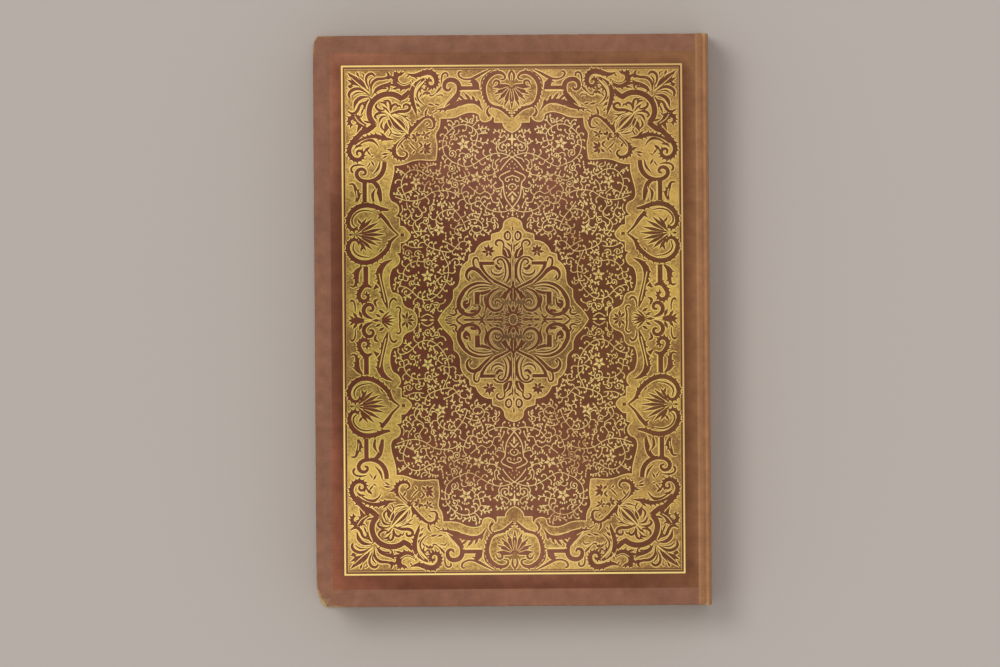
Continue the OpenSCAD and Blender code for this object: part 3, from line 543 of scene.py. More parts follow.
medallionScrolls = [
    # upper volutes and the pair of wedges under them
    stroke([(10, 29.6), (8, 31), (4.6, 30.8), (2.4, 28.6), (1.5, 24.6), (1.9, 21), (3.4, 18.4)],
           1, 1.3, 1.4, 1.5, 1.4, 1.2, 0.8),
    stroke([(6.7, 27.7), (7.7, 28.9), (6.4, 30.1), (4.6, 28.9), (3.8, 26), (3.7, 23), (4.6, 20.4), (5.8, 18.9)],
           0.9, 1, 1, 0.9, 0.9, 0.8, 0.7, 0.5),
    stroke([(8.6, 27.2), (7, 25.4), (5.4, 26)], 1.5, 1.6, 0.8),
    stroke([(4.6, 23.7), (6.4, 22.5), (8.8, 22.4), (10.7, 23.8), (11, 25.2)], 0.5, 0.9, 1, 0.8, 0.5),
    stroke([(9.4, 28.2), (16.8, 28.2)], 1.7),
    stroke([(16.5, 29), (15, 24.7), (12.5, 21.6), (9, 19.1), (5.2, 17.4), (1.6, 15.4)], 1.6, 1.8, 1.6, 1.5, 1.4, 1),
    stroke([(17.2, 29.2), (17.9, 30.9), (19.3, 30.7), (19.8, 28.6), (19.1, 26.4), (17.8, 24.8)],
           0.7, 1, 1.1, 1.1, 1, 0.6),
    stroke([(21.6, 19.6), (22.9, 20.6), (23.3, 22.6), (22.2, 24.8), (20.2, 25.7), (17.6, 24.8), (15.6, 22.8),
            (13.4, 20.4), (10.4, 18)], 1, 1, 1.4, 1.8, 1.9, 2.1, 1.8, 1.3, 0.7),
    leaf(21.9, 22.2, 20.4, 20.2, 1.1, 0.2),
    # great scroll at the side
    stroke([(10.6, 17.4), (15, 18.4), (19.6, 17.8), (23.4, 15.4), (26, 12), (27.3, 8.4), (26.4, 4.8), (23.8, 2.8),
            (20.4, 2.5), (17.8, 3.9), (16.7, 6), (17.4, 7.4)], 0.5, 1, 1.5, 2, 2.2, 2.2, 2.2, 1.9, 1.7, 1.7, 1.3, 0.8),
    stroke([(11, 16.3), (15, 16.7), (19, 16), (21.9, 14.2), (23, 12)], 0.5, 0.8, 1, 0.9, 0.5),
    stroke([(11.4, 14.8), (15, 13.3), (18.8, 12.9)], 0.7, 1.6, 2), leaf(22, 9.4, 25.6, 7, 3.4),
    stroke([(18, 13.6), (18, 7.9)], 2.4), stroke([(21.6, 10.2), (22.6, 7.6), (24.6, 5.6), (25.4, 4)], 0.8, 2.2, 2, 1),
    stroke([(18.4, 4.6), (21.4, 4.2)], 1.4),
    # lower scroll
    stroke([(7, 15.6), (10.6, 13.8), (12.6, 10.8), (12.6, 7.4), (10.8, 5), (8.2, 4.5), (6, 5.6), (5, 7.6)],
           0.8, 1.3, 1.5, 1.5, 1.4, 1.3, 1.2, 0.8),
    stroke([(6.4, 8.6), (7.6, 9.6), (9, 9), (8.8, 7.8)], 0.8, 1, 0.9, 0.6),
    stroke([(11.4, 14.8), (13.5, 12.4), (14.1, 9.8), (13.4, 6.6), (14.2, 4)], 0.7, 1.1, 1.1, 1, 0.6),
    stroke([(3.6, 14), (4.8, 12), (6, 11)], 1.2, 1.4, 0.8), stroke([(0, 17.6), (0, 14), (0, 9.4)], 0.6, 4.6, 3),
    stroke([(1.4, 15.6), (3, 13.6), (4, 10.6)], 1, 1.4, 1),
    # rosette and the row on the cross axis
    *petals(0, 0, [(5, 0.01), (5.6, 2.8), (4.8, 5.6), (2.8, 7.8), (0.01, 9)], 1.7, 2.2), leaf(3.8, 9.8, 5.8, 12.2, 1),
    leaf(6.8, 3.2, 9.6, 2.6, 1.3), leaf(10.4, 3.6, 12.6, 2, 1.2),
    stroke([(5.6, 0), (8, 0), (9.6, 0)], 1.6, 1, 1.6), stroke([(10.6, 0), (13, 0)], 1.2),
    stroke([(14.2, 2.6), (15.6, 0.9), (17.2, 2.2)], 1, 1, 0.6), stroke([(15, 0), (24.6, 0)], 1.1),
    leaf(19, 1.2, 21.4, 1.2, 0.7), leaf(8.4, 1.4, 10.6, 1.2, 0.7),
    stroke([(25.2, 2.6), (27, 1.6), (28.6, 0)], 0.8, 1.2, 0.8), leaf(29.4, 0, 34.6, 0, 2),
    stroke([(27.2, 6.6), (28.8, 5), (28.4, 3.4), (30, 2.4), (31.8, 3)], 0.6, 1.2, 1, 1.2, 0.7),
    stroke([(30.6, 1.4), (32.6, 1.7), (33.8, 0.9)], 0.6, 0.9, 0.4), leaf(29.2, 6.6, 30.6, 4.4, 0.9),
    # heart-shaped finial, lily and small hooks of the head
    leaf(1, 30.6, 4.9, 37.2, 4.4, -0.06), leaf(0.7, 36.4, 3.2, 38.6, 1.1), leaf(0.6, 37.8, 0.6, 33.4, 0.9),
    stroke([(0, 30), (0, 26.4)], 0.8, 0.5), stroke([(1, 29.4), (1, 19)], 0.5),
    stroke([(2.4, 44.2), (3.8, 43), (3.8, 40.8), (2.2, 39.8), (1.3, 41), (1.4, 43), (2.4, 44.2)],
           0.8, 1.1, 1.1, 0.9, 0.8, 0.8, 0.8), leaf(2.6, 41, 2.5, 43.2, 0.8),
    stroke([(0, 46.4), (0, 44.6)], 0.8), leaf(0, 40.6, 0, 38.4, 1),
    stroke([(4.5, 36.6), (4.7, 38.4), (6.2, 39.7), (8, 39.3), (8.5, 37.8), (7.4, 36.9)], 0.7, 0.9, 1.1, 1.2, 1, 0.7),
    *petals(12.1, 33.9, [(12.2, 37.8), (9.8, 36.6), (8.9, 34.4), (10.4, 31.8), (13.6, 31.6), (15.8, 34), (14.4, 36.8)],
            1.5, 0.5), leaf(0, 19.4, 0, 16.6, 1.5),
]
medallionVeins = [
    stroke([(6.4, 28.3), (7.1, 28.9), (6.3, 29.5), (5.2, 28.6), (4.9, 26.6), (5.6, 24.4), (7.6, 23.3), (9.6, 24.2),
            (9.9, 25.8)], 0.35, 0.35, 0.35, 0.35, 0.4, 0.45, 0.5, 0.45, 0.3),
    stroke([(8.8, 30), (6, 30.9), (3.6, 29.2), (2.7, 26), (2.7, 22.6), (3.8, 19.4)], 0.3),
    stroke([(13.9, 26.7), (13.2, 24.6), (11, 22), (7.8, 19.6), (3, 17)], 0.35),
    stroke([(10.4, 16.9), (15, 17.5), (19.4, 16.8), (22.6, 14.8), (24.2, 12.2), (23.2, 10.8), (21.4, 11.2)],
           0.3, 0.4, 0.45, 0.45, 0.45, 0.45, 0.35),
    stroke([(10.8, 15.5), (14.6, 14.5), (19.4, 14), (19.6, 11), (19.6, 7.8)], 0.4),
    stroke([(18, 6.3), (19.6, 6), (20.5, 6.7), (21.4, 5.2), (22.8, 4.5), (24.2, 5.2), (25.4, 7), (25.3, 9.2)],
           0.4, 0.5, 0.6, 0.7, 0.8, 0.6, 0.5, 0.3),
    stroke([(23.6, 8.2), (22.4, 8.8), (22.3, 10)], 0.4),
    stroke([(5.4, 14.8), (8.4, 13.4), (10.6, 11), (11.2, 8.4), (10.2, 6.4), (8.2, 6), (6.8, 7)],
           0.3, 0.4, 0.45, 0.45, 0.45, 0.4, 0.3),
    stroke([(12.4, 13.2), (14.9, 11.4), (15, 9), (14.2, 7)], 0.35),
    stroke([(2.3, 31.6), (3.3, 34.4), (4.4, 35.8)], 0.45), stroke([(0, 15.6), (0, 10)], 0.35),
    stroke([(1.2, 14.4), (2, 12), (1.3, 9.6)], 0.35),
    stroke([(0, 4), (1.1, 5.6), (0, 7.4)], 0.35), stroke([(2, 3.4), (3.7, 4.2), (3.8, 5.6)], 0.35),
    stroke([(2.6, 1.4), (4.4, 1.8), (4.6, 2.4)], 0.35), stroke([(3, 0), (4.4, 0)], 0.35),
    stroke([(0, 2.7), (1.4, 2), (2, 0)], 0.5), stroke([(29.8, 0), (33, 0)], 0.35),
    stroke([(2.6, 41.6), (3, 42.4), (2.5, 43)], 0.35), stroke([(2.4, 11.6), (3.6, 9.6)], 0.3),
    stroke([(10, 18.9), (14, 22.4), (16.9, 26.4), (18.2, 28.8)], 0.35, 0.35, 0.4, 0.3),
    stroke([(16.4, 13), (16.2, 8.6)], 0.3),
]


# Heights of the gilding's layers over the panel's floor, in mm, and the widths of their rims
gilding = {"ground": 0.012, "outline": 0.016, "rim": 0.45, "edge": 0.018, "vines": 0.03, "bare": 0.055, "veins": 0.095,
           "between": 0.0012, "cell": 9}


def ribbonMesh(strokes, base, grow=0.0, steps=3):
    # each stroke becomes a flat ribbon: a curve's extrusion is scaled by its points' radius
    curve = bpy.data.curves.new("ribbons", "CURVE")
    curve.dimensions = "3D"
    curve.twist_mode = "Z_UP"
    curve.resolution_u = steps
    curve.extrude = 0.5
    placed = []
    for path in strokes:
        # strokes that may cross each other lie at different levels, a hair apart
        reach = max(point[2] for point in path) / 2 + grow
        left, right = min(point[0] for point in path) - reach, max(point[0] for point in path) + reach
        low, high = min(point[1] for point in path) - reach, max(point[1] for point in path) + reach
        near = {other[4] for other in placed
                if other[0] < right and other[1] > left and other[2] < high and other[3] > low}
        level = next(k for k in range(len(near) + 1) if k not in near)
        placed.append((left, right, low, high, level))
        spline = curve.splines.new("BEZIER")
        spline.bezier_points.add(len(path) - 1)
        for point, (x, y, width) in zip(spline.bezier_points, path):
            point.co = (x, y, base + level * gilding["between"])
            point.handle_left_type = point.handle_right_type = "AUTO"
            point.radius = width + 2 * grow
            point.tilt = math.pi / 2
    return meshOfCurve(curve)


def filledMesh(runs, base):
    # runs of points between sharp corners, filled in as one flat face
    curve = bpy.data.curves.new("outline", "CURVE")
    curve.dimensions = "2D"
    curve.fill_mode = "BOTH"
    curve.resolution_u = 4
    spline = curve.splines.new("BEZIER")
    points = [(run[i], i == 0) for run in runs for i in range(len(run) - 1)]
    spline.bezier_points.add(len(points) - 1)
    spline.use_cyclic_u = True
    for point, ((x, y), sharp) in zip(spline.bezier_points, points):
        point.co = (x, y, 0)
        point.handle_left_type = point.handle_right_type = "VECTOR" if sharp else "AUTO"
    mesh = meshOfCurve(curve)
    mesh.transform(Matrix.Translation((0, 0, base)))
    return mesh


def meshOfCurve(curve):
    holder = bpy.data.objects.new("holder", curve)
    scene.collection.objects.link(holder)
    mesh = bpy.data.meshes.new_from_object(holder.evaluated_get(bpy.context.evaluated_depsgraph_get()))
    bpy.data.objects.remove(holder)
    bpy.data.curves.remove(curve)
    return mesh


def fourQuarters(mesh):
    bm = bmesh.new()
    bm.from_mesh(mesh)
    for normal in ((1, 0, 0), (0, 1, 0)):
        bmesh.ops.bisect_plane(bm, geom=bm.verts[:] + bm.edges[:] + bm.faces[:], dist=1e-5, plane_co=(0, 0, 0),
                               plane_no=normal, clear_inner=True)
    for axis in ("X", "Y"):
        bmesh.ops.mirror(bm, geom=bm.verts[:] + bm.edges[:] + bm.faces[:], merge_dist=1e-4, axis=axis)
    return bm


def placeOnCover(bm, side):
    for face in bm.faces:
        face.normal_update()
    bmesh.ops.reverse_faces(bm, faces=[face for face in bm.faces if face.normal.z < 0])
    bmesh.ops.transform(bm, verts=bm.verts, matrix=Matrix.Scale(mm, 4) @ Matrix.Translation((blockX, blockY, floorZ)))
    if side == "front":
        turnOver(bm)


def turnOver(bm):
    # the front cover is the back cover mirrored through the middle of the book
    middle = Matrix.Translation((0, 0, topZ * mm / 2))
    bmesh.ops.transform(bm, verts=bm.verts, matrix=middle @ Matrix.Scale(-1, 4, (0, 0, 1)) @ middle.inverted())
    bmesh.ops.reverse_faces(bm, faces=bm.faces[:])


def crossCuts(bm, cell):
    # cuts both ways, so that the tones can follow
    for i in range(-int(130 / cell), int(130 / cell) + 1):
        for normal in ((1, 0, 0), (0, 1, 0)):
            bmesh.ops.bisect_plane(bm, geom=bm.verts[:] + bm.edges[:] + bm.faces[:], dist=1e-4,
                                   plane_co=[cell * i * n for n in normal], plane_no=normal)


def layPiece(name, mesh, material, side, replaced=(), cell=0):
    bm = fourQuarters(mesh)
    if cell:
        crossCuts(bm, cell)
    placeOnCover(bm, side)
    piece = pieceFrom(name, bm, material, side + "_cover", replaced)
    paintTone(piece.data, clothTone if material == bareCloth else goldTone)
    return piece


# Vines of the field: listed flowers, coils and stems, then side curls in the space left free

def coil(x, y, radius, angle, turns=1.4, side=1):
    path = []
    for i in range(int(turns * 8) + 1):
        a = math.radians(angle) + side * i * math.pi / 4
        r = radius * (1 - 0.8 * i / (turns * 8))
        path.append((x + r * math.cos(a), y + r * math.sin(a)))
    return path


fieldVines = {
    "line": 0.4, "clear": 1.2, "tries": 9000, "seed": 11, "every": 1.9,
    "flowers": [(24.3, 87.9, 3.2, 80), (18, 71.2, 3.1, 100), (48.1, 69.2, 2.9, 60), (36.6, 45, 2.9, 70),
                (42.8, 22, 3.1, 90), (37.2, 73.8, 1.9, 130)],
    "beads": [(26, 91.4), (25, 91.9), (23.9, 92), (22.9, 91.6), (16.3, 67.8), (15.1, 66.9), (14, 66.6), (12.8, 66.6),
              (11.7, 67.2), (10.7, 68.7), (35.9, 75.9), (35.7, 77.3), (35.6, 78.6), (33.5, 43.4), (33.4, 41.9),
              (33.5, 40.4), (33.8, 36.6), (47.2, 23.8), (48.4, 22.6), (48, 21), (46.6, 20), (51, 71.6), (50.4, 73),
              (27.6, 74.2), (26.4, 74.9), (44.3, 56.4), (51.4, 57), (37.6, 59.6), (0.01, 86)],
    "stems": [
        # from the middle to the left, up and over the head
        [(0, 81.3), (3.6, 82.7), (6.8, 83.3), (10, 82.7), (12.8, 81.6), (16.3, 79.6), (19.1, 77.8), (23.2, 76.4),
         (26.6, 77.8), (29.8, 79), (31.8, 80.7), (33.5, 82.4), (34.6, 85.9), (34.5, 89.3), (33.6, 91.9), (32.2, 93.5),
         (30, 95.6), (26.6, 97.4), (23.2, 97.5), (20.3, 96.5), (18.3, 94.8), (17.1, 92.8), (17.7, 89.9), (18.4, 87.6)],
        coil(20, 99.6, 1.5, 250, 1.1), coil(30, 83, 2.2, 240, 1.4, -1), coil(29.9, 91.3, 1.9, 40, 1.2),
        coil(21.9, 81.8, 1.6, 300, 1.3),
        coil(30.3, 75.8, 2, 120, 1.4), coil(28.6, 67.8, 2.1, 60, 1.5, -1),
        [(4.2, 92.5), (2.8, 91), (3.6, 89.3), (5.9, 88.2), (6.8, 85.9), (5.4, 84.4), (3.3, 84.9), (2.9, 86.7),
         (4.3, 87.5)],
        [(24.3, 74.4), (23.4, 72.1), (24.9, 69.9), (27.8, 69.6), (30, 71)],
        # from the foot of the diamond to the left
        [(0, 56), (1.9, 54.6), (5.4, 53.8), (9.4, 54.3), (12.8, 55.7), (14.8, 57.7), (16, 59.2), (18, 59.2),
         (20.3, 57.9), (22.6, 58.3), (24, 60.3), (24.9, 62.9), (25.5, 65), (24, 67.4)],
        [(58.7, 61.8), (55.6, 60.6), (52.4, 59.8), (47.8, 59.8), (43.8, 61.5), (40.4, 63.8), (36.9, 64.6), (32.9, 64.6),
         (29, 63.4), (27, 61.8)],
        [(52.8, 60), (53.9, 62.9), (55.3, 66.4), (55.3, 69.8), (53.6, 72.7), (51.3, 74.7), (47.8, 75.1), (45, 74.1),
         (42.7, 72.4), (40, 71.8)],
        [(9.3, 80.2), (9.9, 76.1), (8.7, 73.9), (12.2, 72.1), (13.4, 73.2)], coil(12.4, 75.8, 1.3, 200, 1.1),
        [(4.6, 66.6), (8.2, 65.4), (9.5, 67.2), (8.3, 68.5)],
        [(21.9, 67), (19, 64.7), (16.2, 62.8), (13.9, 64.1), (11, 62.4), (9.9, 58.9), (7, 58.4)],
        [(41.5, 69.8), (43.5, 67.5), (44.1, 64.6)], [(45, 78), (43.4, 76.4), (44.6, 75)], [(50, 77.4), (49, 76)],
        [(34, 72), (34.6, 69), (34, 68.7), (35.2, 66.4), (34.6, 64.8)],
        [(46.1, 59.5), (47.3, 56.6), (45.3, 53.9), (45.5, 51.6), (48.4, 49.7), (49.9, 47.4), (49, 44.5), (47.3, 42.4)],
        [(53, 58.9), (52.4, 56), (50.7, 53.6), (52.4, 51), (54, 49.8)], [(55.4, 57.6), (55, 54.8), (56, 53)],
        [(31.8, 59), (30.4, 56.8), (28.9, 54.9), (26, 51.4), (24.3, 48), (23.4, 45.4)],
        [(28.9, 54.9), (31.6, 55.2), (34.4, 54.5), (36.8, 52.8), (38.3, 50.4), (37.9, 47.4)],
        [(24.6, 48.6), (22, 49.7), (18.6, 50.3), (15.7, 48.6), (14.8, 46.3), (16.3, 44), (18.6, 43.6), (20.4, 45),
         (19.6, 46.8), (18, 46.6)],
        [(24.9, 47.6), (27, 47.4), (29, 45.6), (28.6, 43.4), (27, 43.4)], coil(40.4, 56.2, 1.5, 200, 1.2),
        coil(9.4, 49.4, 2, 180, 1.2, -1), coil(43.6, 49.4, 2, 60, 1.3),
        # round the flower beside the medallion
        [(23.7, 37.2), (22.8, 38.4), (24.2, 39.3), (26.4, 38.6), (28.4, 36.4), (30.2, 34.4), (33, 34), (36, 34.6),
         (39, 35.4), (42, 36.8), (44, 38.8), (44.4, 41.6)],
        [(35.4, 34.4), (34, 31), (32.6, 28), (32.2, 24), (33, 20), (35, 16), (38, 12.6), (41.2, 10.4), (44.4, 10.2),
         (47.4, 11.4), (50, 13.8), (53, 16.2), (56.6, 17.2)],
        [(45, 36.6), (48.4, 36.2), (51.6, 36.8), (53.6, 38)], coil(47.6, 33, 2, 150, 1.2, -1),
        coil(52.4, 33.4, 1.9, 180, 1.2, -1), coil(28.4, 28.6, 2.4, 20, 1.1),
        [(41, 30), (44, 29), (47.4, 29.6), (50.6, 28.8), (53.4, 26.6), (54.8, 23.6), (55, 20.6), (57.4, 18.8)],
        coil(42, 28.4, 1.9, 240, 1.2, -1),
        [(35.4, 22), (37.4, 20.4), (39, 18.2), (38, 16.4)], coil(50.4, 18.4, 1.7, 300, 1.2),
        coil(38.4, 7.2, 1.8, 60, 1.3), coil(42.6, 6, 1.9, 100, 1.2, -1), coil(48.2, 7.4, 1.5, 90, 1.2),
    ],
}


def insideRuns(runs, closing, x, y):
    points = [run[i] for run in runs for i in range(len(run))] + closing
    crossings = 0
    for (ax, ay), (bx, by) in zip(points, points[1:] + points[:1]):
        if (ay > y) != (by > y) and x < (bx - ax) * (y - ay) / (by - ay) + ax:
            crossings += 1
    return crossings % 2 == 1


def berry(x, y, width):
    return stroke([(x - 0.32 * width, y), (x + 0.32 * width, y)], width)


def growVines():
    dice = random.Random(fieldVines["seed"])
    taken = {}
    found = []
    clear = fieldVines["clear"]

    def isInField(x, y):
        inField = insideRuns(fieldEdge, [(0, 0)], x, y) and not insideRuns(medallionEdge, [(0, 0)], x, y)
        return inField and x > 0 and y > 0

    def isFree(x, y, reach):
        cell = (int(x / 2), int(y / 2))
        for i in (-1, 0, 1):
            for j in (-1, 0, 1):
                for ox, oy in taken.get((cell[0] + i, cell[1] + j), ()):
                    if (ox - x) ** 2 + (oy - y) ** 2 < reach * reach:
                        return False
        return True

    def take(path):
        for (ax, ay), (bx, by) in zip(path, path[1:]):
            for k in range(5):
                x, y = ax + (bx - ax) * k / 4, ay + (by - ay) * k / 4
                taken.setdefault((int(x / 2), int(y / 2)), []).append((x, y))

    def curl(x, y, angle, bend, length, steps=7):
        path = [(x, y)]
        for k in range(steps):
            angle += bend * (0.35 + 1.5 * k / steps)
            x, y = x + math.cos(angle) * length / steps, y + math.sin(angle) * length / steps
            path.append((x, y))
        return path

    for runs in (fieldEdge, medallionEdge):
        for run in runs:
            for (ax, ay), (bx, by) in zip(run, run[1:]):
                pieces = max(1, int(math.hypot(bx - ax, by - ay)))
                take([(ax + (bx - ax) * k / pieces, ay + (by - ay) * k / pieces) for k in range(pieces + 1)])
    for path in candelabra:
        take([(x, y) for x, y, width in path])
    take([(1.5, 73), (3.2, 70), (1.4, 67), (3, 64), (1.2, 61), (2, 58)])
    for x, y, radius, first in fieldVines["flowers"]:
        angles = [math.radians(first + 72 * k) for k in range(5)]
        tips = [(x + radius * math.cos(a), y + radius * math.sin(a)) for a in angles]
        found += petals(x, y, tips, 0.43 * radius, 0.5)
        found += [berry(x + 0.5 * radius * math.cos(a + 0.63), y + 0.5 * radius * math.sin(a + 0.63), 0.5)
                  for a in angles]
        take([(x + 0.75 * radius * math.cos(k * 0.7), y + 0.75 * radius * math.sin(k * 0.7)) for k in range(10)])
    for x, y in fieldVines["beads"]:
        found.append(berry(x, y, 1))
        take([(x, y), (x, y)])
    ends = []
    for path in fieldVines["stems"]:
        found.append(stroke(path, 0.4, fieldVines["line"], 0.45))
        found.append(berry(*path[-1], 1.05))
        take(path)
    for path in fieldVines["stems"]:
        walked = 0
        for (ax, ay), (bx, by) in zip(path, path[1:]):
            walked += math.hypot(bx - ax, by - ay)
            along = math.atan2(by - ay, bx - ax)
            ends.append((ax, ay, along))
            if walked < fieldVines["every"]:
                continue
            walked = 0
            for side in (-1, 1):
                for length in (dice.uniform(2.6, 4.4), 2, 1.5):
                    twig = curl(bx, by, along + side * dice.uniform(0.5, 1.0), side * dice.uniform(0.25, 0.6),
                                length, 5)
                    if all(isInField(px, py) and isFree(px, py, 0.85) for px, py in twig[3:]):
                        found += [stroke(twig, 0.3, fieldVines["line"], 0.55), berry(*twig[-1], 1.05)]
                        take(twig[2:])
                        ends.append((*twig[2], along))
                        break
    for _ in range(fieldVines["tries"]):
        x, y, along = ends[dice.randrange(len(ends))]
        side = dice.choice((-1, 1))
        path = curl(x, y, along + side * dice.uniform(0.5, 1.5), side * dice.uniform(-0.2, 0.6),
                    dice.uniform(2.2, 6), 6)
        if not all(isInField(px, py) and isFree(px, py, clear) for px, py in path[3:]):
            continue
        found += [stroke(path, 0.3, fieldVines["line"], 0.4, 0.55), berry(*path[-1], 1.05)]
        take(path)
        for k in (2, 4):
            ax, ay = path[k]
            bx, by = path[k + 1]
            ends.append((ax, ay, math.atan2(by - ay, bx - ax)))
            turn = math.atan2(by - ay, bx - ax) + dice.choice((-1, 1)) * 1.1
            tipX, tipY = ax + 1.5 * math.cos(turn), ay + 1.5 * math.sin(turn)
            if isInField(tipX, tipY) and isFree(tipX, tipY, 0.6):
                found.append(leaf(ax, ay, tipX, tipY, 0.8))
                take([(tipX, tipY), (tipX, tipY)])
    return found


candelabra = [  # on the upright axis of the field: a fleuron, a diamond and a heart-shaped frame, mirrored
    leaf(0, 93, 0, 87, 1.3), leaf(0, 90.2, 2.4, 90.2, 1.1), berry(1.4, 84.6, 0.8), berry(0, 84, 0.8),
    stroke([(0, 81.3), (2, 79.6), (3.6, 77.8), (5.4, 75.4), (5.8, 74.6)], 0.5), berry(1.4, 77.6, 0.7),
    berry(2.4, 76.4, 0.7), berry(0, 79, 0.8), berry(0.9, 75.6, 0.7),
    stroke([(1, 74.4), (4.2, 73), (6.6, 71), (4.8, 68.8), (4.4, 65.4), (3.8, 61.8), (2.2, 58.8), (0, 56)], 0.55),
    stroke([(0, 72), (1.6, 71.4), (3.4, 70.6), (3.2, 69.2), (1.8, 69.4), (1.6, 70.4)], 0.5),
    stroke([(0, 68), (1.6, 67.2), (1.9, 65.6), (0.5, 64.8)], 0.5),
    leaf(0, 64, 2.4, 61.4, 0.9), leaf(0.2, 62, 0.2, 58.6, 0.9), berry(2.9, 66.8, 0.8), berry(1.2, 60.4, 0.7),
    berry(3, 63.4, 0.8), berry(0, 66.4, 0.9), berry(0, 70, 0.9),
    stroke([(0.8, 83.6), (2.4, 81.2), (4.6, 80.6), (6, 78.8)], 0.45),
    stroke([(6.4, 80.4), (8, 79.4), (8.4, 77.6), (7, 77)], 0.45), berry(2, 53, 0.9),
    stroke([(40, 1.2), (43, 3), (46, 1.2)], 0.5), leaf(39.6, 0, 42, 0, 1), leaf(43, 0, 46.4, 0, 1.1),
    berry(2.6, 51.6, 0.8),
]

print("vines")
vineStrokes = growVines() + candelabra


def strikeGilding(side):
    print("gilding of the " + side + " cover")
    borderSides = [[(48.1, 0), (83.2, 0)], [(83.2, 0), (83.2, 125)], [(83.2, 125), (0, 125)], [(0, 125), (0, 93.5)]]
    medallionSides = [[(37.6, 0), (0, 0)], [(0, 0), (0, 51)]]
    layPiece(side + "_border_ground", filledMesh(fieldEdge + borderSides, gilding["ground"]), borderGold, side,
             [side + "_gilt_border"], gilding["cell"])
    layPiece(side + "_medallion_ground", filledMesh(medallionEdge + medallionSides, gilding["ground"]), medallionGold,
             side, [side + "_gilt_medallion"], gilding["cell"])
    edges = [stroke(run, gilding["rim"]) for run in fieldEdge + medallionEdge]
    bm = bmesh.new()
    bm.from_mesh(ribbonMesh(borderScrolls + medallionScrolls, gilding["outline"], gilding["rim"]))
    bm.from_mesh(ribbonMesh(edges, gilding["edge"]))
    joined = bpy.data.meshes.new("outlines")
    bm.to_mesh(joined)
    bm.free()
    layPiece(side + "_scroll_outlines", joined, brightGold, side)
    layPiece(side + "_bare_scrolls", ribbonMesh(borderScrolls + medallionScrolls, gilding["bare"]), bareCloth, side)
    layPiece(side + "_scroll_veins", ribbonMesh(borderVeins + medallionVeins, gilding["veins"]), brightGold, side)
    layPiece(side + "_field_vines", ribbonMesh(vineStrokes, gilding["vines"], 0, 2), vineGold, side,
             [side + "_gilt_arabesque"])


# Fillets: a broad rounded line and a fine one round the block

fillets = {"outer": (84.85, 127.1, 0.8), "inner": (83.35, 125.6, 0.2), "rise": 0.04, "lift": 0.001, "cell": 13}


def lineFrame(side):
    bm = bmesh.new()
    for halfX, halfY, width in (fillets["outer"], fillets["inner"]):
        corners = bmesh.ops.create_grid(bm, x_segments=1, y_segments=1, size=1)["verts"]
        bmesh.ops.scale(bm, verts=corners, vec=(halfX + width / 2, halfY + width / 2, 1))
        face = corners[0].link_faces[0]
        for part, depth in ((0.2, fillets["rise"]), (0.6, 0), (0.2, -fillets["rise"])):
            thickness = width * part
            bmesh.ops.inset_region(bm, faces=[face], thickness=thickness, depth=depth, use_even_offset=True,
                                   use_boundary=True)
        bmesh.ops.delete(bm, geom=[face], context="FACES")
    crossCuts(bm, fillets["cell"])
    placeOnCover(bm, side)
    lift = fillets["lift"] * mm
    bmesh.ops.translate(bm, verts=bm.verts, vec=(0, 0, lift if side == "back" else -lift))
    piece = pieceFrom(side + "_fillets", bm, filletGold, side + "_cover", [side + "_gilt_fillets"])
    paintTone(piece.data, lambda x, y: spotTone(clothTones["fillet"], x, y))
    return piece


# Cloth of a cover: a sheet drawn over the board, rounded at its edges and turned in

coverSheet = {
    "headWear": (2.5, 9), "tailWear": (5, 14), "round": 0.9, "lowRound": 0.45, "turnIn": 15,
    "cell": 9.5, "drop": 0.15, "step": 0.35, "sheet": 0.36,
}


def coverOutline():
    points = []
    for sign, (width, length) in ((1, coverSheet["headWear"]), (-1, coverSheet["tailWear"])):
        arc = []
        for i in range(7):
            a = math.radians(15 * i)
            arc.append((foreX + width * (1 - math.sin(a)), sign * (halfHeight - length * (1 - math.cos(a)))))
        points += arc if sign > 0 else arc[::-1]
    return points + [(boardEnd + 4, -halfHeight), (boardEnd + 4, halfHeight)]


def edgeDistance(x, y):
    near = min(x - foreX, halfHeight - abs(y))
    width, length = coverSheet["headWear"] if y > 0 else coverSheet["tailWear"]
    u = max(0, (foreX + width - x) / width)
    v = max(0, (abs(y) - halfHeight + length) / length)
    return min(near, (1 - math.hypot(u, v)) * width) if u > 0 and v > 0 else near


def coverRub(x, y, z):
    near = edgeDistance(x, y)
    corner = math.hypot(x - foreX, abs(y) - halfHeight)
    rub = max(0, 0.62 - near * 0.5)
    if y < 0 and corner < 22:
        rub += 0.3 * (1 - corner / 22)
    if corner < 9:
        rub += 0.2
    return min(rub, 0.9)


